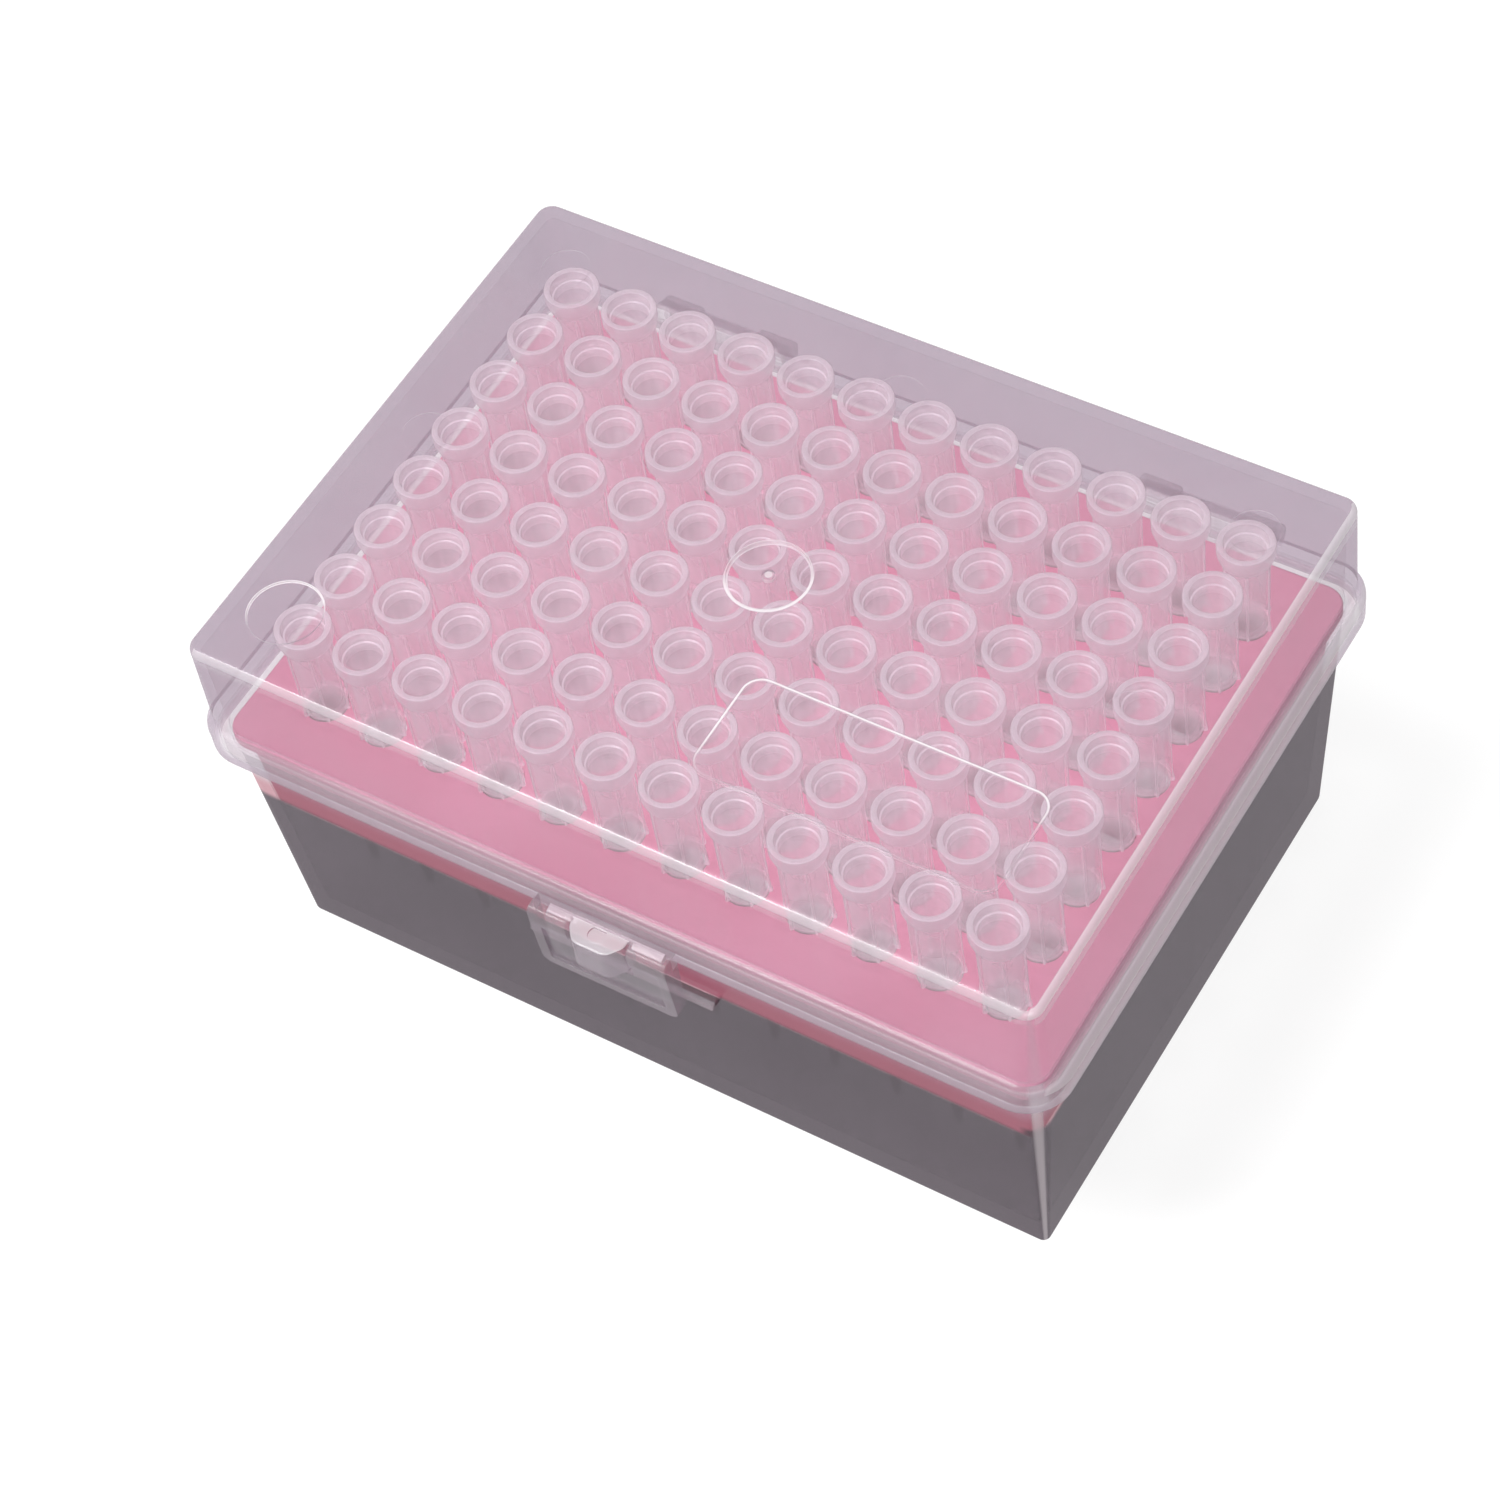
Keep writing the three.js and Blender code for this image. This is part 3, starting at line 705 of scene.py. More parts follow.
@dataclass(frozen=True)
class MarkEdgeHighlight:
    """A painted highlight along the edge of a mark moulded in the lid's top, strongest on the side
    given by lit and faint on the other.

    The mark is a rectangle with rounded corners, or a circle where both halves equal the corner.
    """

    centre: Point2
    half: Point2
    corner: float
    width: float
    opacity: float
    lit: Point2 = (-0.5, 0.85)
    faint: float = 0.3

    def mask(self, sheet: Sheet, at: Coordinates) -> Socket:
        """How strongly the painted highlight shows.

        Args:
            sheet: The material's sheet.
            at: The material's coordinates.

        Returns:
            The mask, from 0 to the mark's opacity.
        """
        beyond, sides, squares = [], [], []
        for value, middle, half, turn in zip((at.x, at.y), self.centre, self.half, self.lit):
            offset = sheet.minus(value, middle * MM)
            part = sheet.minus(sheet.math("ABSOLUTE", offset), (half - self.corner) * MM)
            outside = sheet.most(part, 0.0)
            beyond.append(part)
            squares.append(sheet.times(outside, outside))
            sides.append(sheet.times(offset, turn / (half * MM)))
        bend = sheet.math("SQRT", sheet.plus(*squares))
        inside = sheet.math("MINIMUM", sheet.most(*beyond), 0.0)
        distance = sheet.minus(sheet.plus(bend, inside), self.corner * MM)
        near, far = self.width * 0.3 * MM, self.width * 0.7 * MM
        line = sheet.ramp(sheet.math("ABSOLUTE", distance), near, far, self.opacity, 0.0)
        return sheet.times(line, sheet.ramp(sheet.plus(*sides), -0.5, 0.4, self.faint, 1.0))


def ring_edge_highlight(
    centre: Point2, radius: float, width: float, opacity: float, **looks: object,
) -> MarkEdgeHighlight:
    """A painted highlight along the edge of a round mark."""
    return MarkEdgeHighlight(centre, (radius, radius), radius, width, opacity, **looks)


def start_material(name: str) -> tuple[bpy.types.Material, Sheet, Socket]:
    """An empty node material.

    Args:
        name: Its name.

    Returns:
        The material, its sheet and the socket for its shader.
    """
    material = bpy.data.materials.new(name)
    material.use_nodes = True
    material.node_tree.nodes.clear()
    sheet = Sheet(material.node_tree)
    return material, sheet, sheet.node("ShaderNodeOutputMaterial").inputs["Surface"]


def moulded(
    sheet: Sheet, colour: Socket, cloud: Socket, roughness: float, spread: float, **inputs: object,
) -> Socket:
    """The surface shader of a moulded plastic, rougher where it is cloudier.

    Args:
        sheet: The material's sheet.
        colour: Its colour.
        cloud: Cloudiness, from 0 to 1.
        roughness: Its mean roughness.
        spread: How far the roughness varies.
        inputs: Further inputs of the shader, with underscores for spaces.

    Returns:
        The shader.
    """
    rough = sheet.plus(sheet.times(cloud, spread), roughness - spread / 2)
    others = {name.replace("_", " "): value for name, value in inputs.items()}
    plastic = {"Base Color": colour, "Roughness": rough, "IOR": PLASTIC_IOR, **others}
    return sheet.node("ShaderNodeBsdfPrincipled", plastic).outputs[0]


def bumped(sheet: Sheet, height: Socket, strength: float, distance: float) -> Socket:
    """The direction of a surface whose height varies."""
    inputs = {"Height": height, "Strength": strength, "Distance": distance}
    return sheet.node("ShaderNodeBump", inputs).outputs["Normal"]


def edge_opacity(sheet: Sheet, share: float) -> Socket:
    """Further opacity of a wall that is seen along its face."""
    facing = sheet.node("ShaderNodeLayerWeight", {"Blend": 0.5}).outputs["Facing"]
    return sheet.times(sheet.math("POWER", facing, 3.0), share)


def see_through(
    sheet: Sheet, opacity: Socket, plastic: Socket, tint: Socket | tuple[float, ...], lamp_tint: float,
) -> Socket:
    """Mixes a plastic's surface with what is seen through it.

    Args:
        sheet: The material's sheet.
        opacity: Share of the light that the plastic's own surface sends back.
        plastic: Its surface shader.
        tint: Colour of what comes through.
        lamp_tint: Share of the lamps' light that comes through.

    Returns:
        The shader for the material's output.
    """
    clear = sheet.node("ShaderNodeBsdfTransparent", {"Color": tint}).outputs[0]
    seen = sheet.node("ShaderNodeMixShader", {"Fac": opacity, 1: clear, 2: plastic}).outputs[0]
    grey = (lamp_tint, lamp_tint, lamp_tint, 1.0)
    lamp = sheet.node("ShaderNodeBsdfTransparent", {"Color": grey}).outputs[0]
    shadow = sheet.node("ShaderNodeLightPath").outputs["Is Shadow Ray"]
    return sheet.node("ShaderNodeMixShader", {"Fac": shadow, 1: seen, 2: lamp}).outputs[0]


@dataclass(frozen=True)
class ClearPlastic:
    """Cloudy see-through polypropylene, more opaque in its thick zones.

    The outer faces carry most of the colour. What comes through a near wall takes the tint, through a
    far wall the far tint, and through an inner face the inner tint. Entries in tints replace these in
    their zones, from first to last. Tints that differ between near and far walls, and the tints of
    zones, are painted shade set by which walls the eye meets.
    """

    name: str
    milk: Colour
    bright_milk: Colour
    tint: Colour
    far_tint: Colour
    middle: float
    wall_opacity: float
    cloudiness: float
    grazing: float
    corner_highlight_opacity: float
    zones: tuple[Zone, ...]
    tints: tuple[tuple[Zone, Colour], ...]
    # painted highlights along the edges of the marks in the top
    marks: tuple[MarkEdgeHighlight, ...] = ()
    mark_highlights_above: float = 59.3
    lamp_tint: float = 0.97
    inner_tint: Colour = (0.97, 0.96, 0.97)
    inner_share: float = 0.3
    far_share: float = 1.0
    bright_above: float = 100.0
    bright_share: float = 1.0
    roughness: float = 0.22

    def build(self, effects: SharedEffects) -> bpy.types.Material:
        """Makes the material.

        Args:
            effects: The shared node groups.

        Returns:
            The material.
        """
        material, sheet, output = start_material(self.name)
        at = Coordinates.read(sheet)
        near = at.near(sheet, self.middle)
        behind = sheet.node("ShaderNodeNewGeometry").outputs["Backfacing"]
        outer = sheet.math("ABSOLUTE", sheet.minus(near, behind))
        # above bright_above the milk turns to bright_milk and the wall clears; on the base the darker
        # milk below is painted shade
        high = sheet.above(at.z, self.bright_above, 0.3)
        cloud = sheet.group(
            effects.haze, Vector=at.vector, Cloud_Scale=70.0, Grain_Scale=2600.0, Grain=0.0,
        )
        zones = self.zone_opacity(sheet, at, near)
        bright = sheet.most(sheet.math("MULTIPLY", zones, 1.25, clamp=True), high)
        colour = sheet.tone(bright, linear(*self.milk), linear(*self.bright_milk))
        height = sheet.group(
            effects.surface, Vector=at.vector, Wave=0.25, Texture=0.0, Scratches=0.1,
        )
        plastic = moulded(
            sheet, colour, cloud, self.roughness, 0.12, IOR=1.6, Specular_IOR_Level=1.0,
            Normal=bumped(sheet, height, 0.05, 0.0004),
        )
        streak = sheet.group(effects.gate_flow, Vector=at.vector, Streaks=20.0)
        uneven = sheet.plus(sheet.minus(cloud, 0.5), sheet.times(sheet.minus(streak, 0.5), 0.5))
        wall = sheet.times(
            sheet.plus(sheet.times(uneven, self.cloudiness), self.wall_opacity),
            sheet.lifted(outer, self.inner_share), sheet.lifted(near, self.far_share),
            sheet.lifted(sheet.minus(1.0, high), self.bright_share),
        )
        marked = sheet.most(wall, zones)
        opacity = sheet.math("ADD", marked, edge_opacity(sheet, self.grazing), clamp=True)
        tint = self.through_tint(sheet, at, near, outer)
        sheet.feed(output, see_through(sheet, opacity, plastic, tint, self.lamp_tint))
        return material

    def through_tint(self, sheet: Sheet, at: Coordinates, near: Socket, outer: Socket) -> Socket:
        """Colour of what comes through, with the painted shade of near and far walls and of the zones.

        Args:
            sheet: The material's sheet.
            at: The material's coordinates.
            near: Mask of the near walls.
            outer: Mask of the outer faces.

        Returns:
            The colour.
        """
        sides = {Side.ANY: 1.0, Side.NEAR: near, Side.FAR: sheet.minus(1.0, near)}
        tint = sheet.tone(near, (*self.far_tint, 1.0), (*self.tint, 1.0))
        for zone, colour in self.tints:
            share = sheet.times(zone.mask(sheet, at), sides[zone.side])
            tint = sheet.tone(share, tint, (*colour, 1.0))
        return sheet.tone(outer, (*self.inner_tint, 1.0), tint)

    def zone_opacity(self, sheet: Sheet, at: Coordinates, near: Socket) -> Socket:
        """The strongest opacity of the zones, of the painted highlights along marks and of the painted
        highlight on near upright corners at each point.

        Args:
            sheet: The material's sheet.
            at: The material's coordinates.
            near: Mask of the near walls.

        Returns:
            The opacity.
        """
        turn_x, turn_y = (sheet.math("ABSOLUTE", part) for part in (at.normal_x, at.normal_y))
        # painted highlight: milky streaks down the rounded upright corners of the near walls
        corner = sheet.ramp(sheet.times(turn_x, turn_y), 0.34, 0.5)
        parts = [sheet.times(corner, near, self.corner_highlight_opacity)]
        # painted highlights along the marks' edges, on the top only
        if self.marks:
            lines = sheet.most(*(mark.mask(sheet, at) for mark in self.marks))
            parts.append(sheet.times(lines, sheet.above(at.z, self.mark_highlights_above, 0.1)))
        parts += [sheet.times(zone.mask(sheet, at), zone.opacity) for zone in self.zones]
        return sheet.most(*parts)


@dataclass(frozen=True)
class TipPlastic:
    """Milky thin-walled tips: nearly clear walls, white ribs, feet and mouth rings."""

    name: str = "tip_milky_plastic"
    milk: Colour = (248, 236, 242)
    milk_depth: float = 6.0
    tint: Colour = (0.99, 0.97, 0.98)
    wall_opacity: float = 0.27
    clear_opacity: float = 0.1
    clear_band: Point2 = (8.0, 13.0)
    collar_opacity: float = 0.4
    mouth_opacity: float = 0.62
    rib_opacity: float = 0.4
    foot_opacity: float = 0.42
    plug_opacity: float = 0.4
    cloudiness: float = 0.12
    grazing: float = 0.35
    body_radius: float = 2.98
    collar_depth: float = 2.9
    stand: float = 15.8
    lamp_tint: float = 0.985
    roughness: float = 0.25

    def build(self, effects: SharedEffects) -> bpy.types.Material:
        """Makes the material, in coordinates whose origin is the middle of the tip's mouth.

        Args:
            effects: The shared node groups.

        Returns:
            The material.
        """
        material, sheet, output = start_material(self.name)
        at = Coordinates.read(sheet)
        cloud = sheet.group(
            effects.haze, Vector=at.vector, Cloud_Scale=260.0, Grain_Scale=4000.0, Grain=0.0,
        )
        radius = sheet.math("SQRT", sheet.plus(sheet.times(at.x, at.x), sheet.times(at.y, at.y)))
        mouth = sheet.above(at.z, -self.collar_depth, 0.2)
        top_face = sheet.times(mouth, sheet.ramp(at.normal_z, 0.3, 0.8))
        proud = sheet.above(radius, self.body_radius + 0.08, 0.06)
        rib = sheet.times(proud, sheet.minus(1.0, mouth))
        stand = -self.stand
        foot = sheet.times(rib, sheet.ramp(at.z, (stand + 0.4) * MM, (stand + 0.9) * MM, 1.0, 0.0))
        plug = sheet.times(
            sheet.ramp(at.z, (stand - 0.3) * MM, (stand + 2.5) * MM, 1.0, 0.0),
            sheet.ramp(at.z, (stand - 14.0) * MM, (stand - 3.0) * MM),
        )
        shallow, deep = self.clear_band
        wall = sheet.ramp(at.z, -deep * MM, -shallow * MM, self.clear_opacity, self.wall_opacity)
        parts = (
            (mouth, self.collar_opacity), (top_face, self.mouth_opacity), (rib, self.rib_opacity),
            (foot, self.foot_opacity), (plug, self.plug_opacity),
        )
        solid = sheet.most(wall, *(sheet.times(part, share) for part, share in parts))
        uneven = sheet.plus(solid, sheet.times(sheet.minus(cloud, 0.5), self.cloudiness))
        opacity = sheet.math("ADD", uneven, edge_opacity(sheet, self.grazing), clamp=True)
        deep_milk = linear(*(channel - self.milk_depth for channel in self.milk))
        colour = sheet.tone(cloud, deep_milk, linear(*self.milk))
        plastic = moulded(sheet, colour, cloud, self.roughness, 0.1)
        tint = (*self.tint, 1.0)
        sheet.feed(output, see_through(sheet, opacity, plastic, tint, self.lamp_tint))
        return material


@dataclass(frozen=True)
class RackPlastic:
    """Pigmented pink plastic with a satin tool finish."""

    name: str = "rack_pink_plastic"
    colour: Colour = (226, 142, 172)
    deep: Colour = (220, 134, 164)
    roughness: float = 0.42

    def build(self, effects: SharedEffects) -> bpy.types.Material:
        """Makes the material.

        Args:
            effects: The shared node groups.

        Returns:
            The material.
        """
        material, sheet, output = start_material(self.name)
        place = Coordinates.read(sheet).vector
        cloud = sheet.group(
            effects.haze, Vector=place, Cloud_Scale=55.0, Grain_Scale=3200.0, Grain=0.35,
        )
        height = sheet.group(effects.surface, Vector=place, Wave=0.4, Texture=0.5, Scratches=0.1)
        share = sheet.ramp(cloud, 0.3, 0.7)
        colour = sheet.tone(share, linear(*self.deep), linear(*self.colour))
        normal = bumped(sheet, height, 0.12, 0.0002)
        sheet.feed(output, moulded(sheet, colour, cloud, self.roughness, 0.16, Normal=normal))
        return material


# ---------------------------------------------------------------- sub-assemblies


def place(piece: Piece, body: Body, slot: Slot) -> Piece:
    """Rides a piece on its body and reports it.

    Args:
        piece: The finished piece.
        body: The CAD body that it moves with.
        slot: The record's material slot; not used.

    Returns:
        The piece.
    """
    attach(piece, body.value)
    LOG.info("%s on %s: %d faces", piece.name, body.value, len(piece.data.polygons))
    return piece


@dataclass
class Plan:
    """The box's plan: every outline is an inset of the lid's rim."""

    box: BoxFrame
    corner: float = 6.0
    least_corner: float = 1.0
    corner_steps: int = 12

    def outline(self, inset: float, z: float, corner: float) -> list[Vector]:
        """A rounded outline at a height.

        Args:
            inset: Distance inside the rim's outer face.
            z: Its height.
            corner: Corner radius that the rim's outer face would have here.

        Returns:
            Its points.
        """
        half_x, half_y = self.box.half_x - inset, self.box.half_y - inset
        radius = max(corner - inset, self.least_corner)
        points = rounded_rectangle(half_x, half_y, radius, self.corner_steps)
        return [Vector((x, y, z)) for x, y in points]

    def walled(self, name: str, section: Outline, corners: tuple[Point2, ...] = ()) -> Piece:
        """A closed body whose section runs all round the plan, capped at both ends.

        Args:
            name: Name of the new object.
            section: Points as (inset, z), from one cap to the other.
            corners: Corner radii as (z, radius) by rising height, or the plan's own if empty.

        Returns:
            The new object.
        """
        shell = Shell()
        levels = corners or ((0.0, self.corner),)
        rings = [shell.ring(self.outline(inset, z, self.between(levels, z))) for inset, z in section]
        shell.skin(rings, capped=True)
        return shell.to_object(name)

    @staticmethod
    def between(levels: tuple[Point2, ...], z: float) -> float:
        """Value at a height, in straight lines between the given ones.

        Args:
            levels: Heights and values by rising height.
            z: The height.

        Returns:
            The value.
        """
        if z <= levels[0][0]:
            return levels[0][1]
        for (low, first), (high, second) in zip(levels, levels[1:]):
            if z <= high:
                return first + (second - first) * (z - low) / (high - low)
        return levels[-1][1]


@dataclass
class BaseTub:
    """Drafted tub with its ledge, collar, catch rib and hinge arms."""

    plan: Plan
    finish: ClearPlastic
    floor: float = 1.5
    floor_round: float = 1.2
    wall: float = 1.3
    top_inset: float = 2.9
    bottom_inset: float = 5.5
    foot_round: float = 0.8
    collar_inset: float = 1.4
    collar_wall: float = 1.1
    collar_rise: float = 0.6
    ledge_drop: float = 2.0
    ledge: float = 1.1
    catch_bottom: float = 29.1
    catch_height: float = 1.1
    catch_reach: float = 2.0
    catch_slope: float = 1.2
    catch_half: float = 13.5
    hinge_offset: float = 36.5
    hinge_width: float = 20.0
    knuckle_width: float = 9.0
    knuckle_radius: float = 1.7
    pin_radius: float = 1.0
    pin_gap: float = 0.4
    gusset_drop: float = 6.5
    arm_drop: float = 0.5
    hinge_y: float = 46.2
    hinge_z: float = 40.4

    @property
    def shelf(self) -> float:
        """Height of the ledge's upper face."""
        return self.plan.box.plate_top - self.ledge_drop

    @property
    def under(self) -> float:
        """Height of the ledge's lower face."""
        return self.shelf - self.ledge

    def inset(self, z: float) -> float:
        """Inset of the drafted outer wall at a height."""
        share = (z - self.foot_round) / (self.under - self.foot_round)
        return self.bottom_inset + (self.top_inset - self.bottom_inset) * share

    def wall_y(self, z: float) -> float:
        """How far the outer wall stands from the middle along Y at a height."""
        return self.plan.box.half_y - self.inset(z)

    def section(self) -> Outline:
        """The tub's section.

        Returns:
            Its points, from the underside outwards, up, over the collar and down inside.
        """
        under, shelf, collar = self.under, self.shelf, self.collar_inset
        top, inner = self.plan.box.plate_top + self.collar_rise, collar + self.collar_wall
        lip, well = self.inset(shelf) + self.wall, self.inset(self.floor) + self.wall
        return rounded([
            (self.bottom_inset + 4, 0), (self.bottom_inset, 0, self.foot_round, 6),
            (self.top_inset, under, 0.3), (collar, under, 0.25), (collar, top, 0.3),
            (inner, top, 0.3), (inner, shelf, 0.2), (lip, shelf, 0.3),
            (well, self.floor, self.floor_round, 6), (well + 4, self.floor),
        ], closed=False)

    def catch_rib(self) -> Piece:
        """The rib along the front wall that holds the lid's flap.

        Returns:
            The rib.
        """
        low, top = self.catch_bottom, self.catch_bottom + self.catch_height
        face = -self.wall_y(low)
        root, reach = face + self.wall / 2, face - self.catch_reach
        outline = rounded([
            (root, top + self.catch_slope), (reach, top - self.catch_height / 2, 0.25),
            (reach, low, 0.15), (root, low),
        ])
        return soften(extrude("catch_rib", outline, Along.X, -self.catch_half, self.catch_half))

    def hinge_arm(self, x: float) -> Piece:
        """A gusseted arm with the bar that the lid's ears turn on.

        Args:
            x: Middle of the hinge.

        Returns:
            The arm.
        """
        axis = (self.hinge_y, self.hinge_z)
        root, arm_top = self.wall_y(self.under) - 0.4, self.hinge_z - self.arm_drop
        outline = [
            (root, self.under - self.gusset_drop),
            *arc(axis, (self.knuckle_radius,) * 2, -60, 180, 20),
            (self.hinge_y - self.knuckle_radius, arm_top), (root, arm_top),
        ]
        half, reach = self.knuckle_width / 2, self.hinge_width / 2 - self.pin_gap
        arm = soften(extrude("hinge_arm", outline, Along.X, x - half, x + half))
        pin = extrude("hinge_bar", circle(axis, self.pin_radius), Along.X, x - reach, x + reach)
        combine(arm, soften(pin))
        return arm

    def build(self, effects: SharedEffects) -> Piece:
        """Builds the tub and dresses it.

        Args:
            effects: The shared node groups.

        Returns:
            The finished piece.
        """
        tub = self.plan.walled("base_tub", self.section())
        combine(tub, self.catch_rib())
        for side in (-1, 1):
            combine(tub, self.hinge_arm(side * self.hinge_offset))
        smooth(tub)
        tub.data.materials.append(self.finish.build(effects))
        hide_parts("base_box")
        return place(tub, Body.BASE, Slot.BASE)


@dataclass
class TipRack:
    """Plate with ninety-six holes, a skirt that hangs in the base and ribs below."""

    plan: Plan
    base: BaseTub
    finish: RackPlastic
    plate: float = 1.7
    inset: float = BoxFrame.RACK_INSET
    skirt_wall: float = 1.2
    skirt_depth: float = 14.8
    fit: float = 0.3
    hole_radius: float = 2.86
    hole_lip: float = 0.22
    cell_steps: int = 8
    corner_steps: int = 8
    rib_depth: float = 6.0
    rib_wall: float = 1.0
    rows_per_rib: int = 2
    columns_per_rib: int = 3

    @property
    def top(self) -> float:
        """Height of the plate's upper face."""
        return self.plan.box.plate_top

    @property
    def low(self) -> float:
        """Height of the plate's lower face."""
        return self.top - self.plate

    def grid_halves(self) -> Point2:
        """Half the length and width of the field of cells."""
        box = self.plan.box
        return box.columns * box.pitch / 2, box.rows * box.pitch / 2

    def side_steps(self, quarter: int) -> int:
        """Segments along the side of the field that leads to a quarter's corner."""
        box = self.plan.box
        return (box.columns if quarter % 2 else box.rows) * self.cell_steps

    def border_ring(self, inset: float, z: float) -> list[Vector]:
        """An outline with points in line with the cells' borders and arcs at its corners.

        Args:
            inset: Distance inside the lid's rim.
            z: Its height.

        Returns:
            Its points, counter-clockwise from the right side's lower cell corner.
        """
        box = self.plan.box
        grid_x, grid_y = self.grid_halves()
        half_x, half_y = box.half_x - inset, box.half_y - inset
        radius = max(self.plan.corner - inset, self.plan.least_corner)
        points: list[Point2] = []
        for quarter, (side_x, side_y) in enumerate(QUADRANTS):
            x, y, count = side_x * half_x, side_y * half_y, self.side_steps(quarter)
            if quarter % 2:
                ends = (-side_x * grid_x, y), (side_x * grid_x, y)
            else:
                ends = (x, -side_y * grid_y), (x, side_y * grid_y)
            start, end = (Vector(point) for point in ends)
            points.extend(start.lerp(end, i / count) for i in range(count + 1))
            points.extend(quarter_arc(quarter, half_x, half_y, radius, self.corner_steps))
        return [Vector((x, y, z)) for x, y in points]

    def grid_ring(self, z: float) -> list[Vector]:
        """The field's border with a point for each of border_ring, its corners repeated.

        Args:
            z: Its height.

        Returns:
            Its points.
        """
        grid_x, grid_y = self.grid_halves()
        corners = [Vector((side_x * grid_x, side_y * grid_y, z)) for side_x, side_y in QUADRANTS]
        points: list[Vector] = []
        for quarter, corner in enumerate(corners):
            count = self.side_steps(quarter)
            points.extend(corners[quarter - 1].lerp(corner, i / count) for i in range(count + 1))
            points.extend(corner.copy() for _ in range(self.corner_steps + 1))
        return points

    def cell(self, shell: Shell, centre: Point2) -> None:
        """Adds one cell: flat round its hole above and below, with a lipped edge and a wall.

        Args:
            shell: The rack's shell.
            centre: The hole's axis.
        """
        half, steps, lip = self.plan.box.pitch / 2, self.cell_steps, self.hole_lip
        corners = [Vector((half * side_x, half * side_y)) for side_x, side_y in QUADRANTS]
        square = [corners[i - 1].lerp(corners[i], j / steps) for i in range(4) for j in range(steps)]
        angles = [-math.pi / 4 + 2 * math.pi * i / len(square) for i in range(len(square))]
        levels = [(square, self.top)]
        for widening, z in (
            (lip, self.top), (lip * 0.3, self.top - lip * 0.3), (0.0, self.top - lip), (0.0, self.low),
        ):
            radius = self.hole_radius + widening
            levels.append(([(radius * math.cos(a), radius * math.sin(a)) for a in angles], z))
        levels.append((square, self.low))
        shell.skin([
            shell.ring([Vector((centre[0] + x, centre[1] + y, z)) for x, y in points])
            for points, z in levels
        ])

    def rim(self, shell: Shell) -> None:
        """Adds the plate's border and the skirt below it, between the field's two faces.

        Args:
            shell: The rack's shell.
        """
        foot, clear = self.low - self.skirt_depth, self.base.wall + self.fit
        outer, outer_foot = self.base.inset(self.low) + clear, self.base.inset(foot) + clear
        inner = (outer + self.skirt_wall, self.low)
        section = rounded([
            (self.inset + 3, self.top), (self.inset, self.top, 0.35), (self.inset, self.low, 0.2),
            (outer, self.low, 0.3), (outer_foot, foot, 0.35),
            (outer_foot + self.skirt_wall, foot, 0.35), inner,
        ], closed=False)
        rings = [self.grid_ring(self.top)]
        rings += [self.border_ring(inset, z) for inset, z in (*section, inner)]
        rings.append(self.grid_ring(self.low))
        shell.skin([shell.ring(points) for points in rings])

    def rib_bars(self) -> list[Piece]:
        """Stiffening ribs under the plate, between rows and between columns.

        Returns:
            The ribs.
        """
        box, half = self.plan.box, self.rib_wall / 2
        foot, root = self.low - self.rib_depth, self.low + self.plate / 2
        inset = self.base.inset(foot) + self.base.wall + self.fit + self.skirt_wall / 2
        bars = []
        for along, count, spacing, reach in (
            (Along.X, box.rows, self.rows_per_rib, box.half_x - inset),
            (Along.Y, box.columns, self.columns_per_rib, box.half_y - inset),
        ):
            for gap in range(spacing, count, spacing):
                middle = (gap - count / 2) * box.pitch
                outline = rectangle(middle - half, middle + half, foot, root)
                bars.append(extrude("rib_bar", outline, along, -reach, reach))
        return bars

    def build(self, effects: SharedEffects) -> Piece:
        """Builds the rack and dresses it.

        Args:
            effects: The shared node groups.

        Returns:
            The finished piece.
        """
        box, shell = self.plan.box, Shell()
        for column in range(box.columns):
            for row in range(box.rows):
                self.cell(shell, box.tip_place(column, row))
        self.rim(shell)
        rack = shell.to_object("rack_plate")
        for bar in self.rib_bars():
            combine(rack, bar)
        smooth(rack)
        rack.data.materials.append(self.finish.build(effects))
        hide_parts("tip_rack")
        return place(rack, Body.BASE, Slot.RACK)


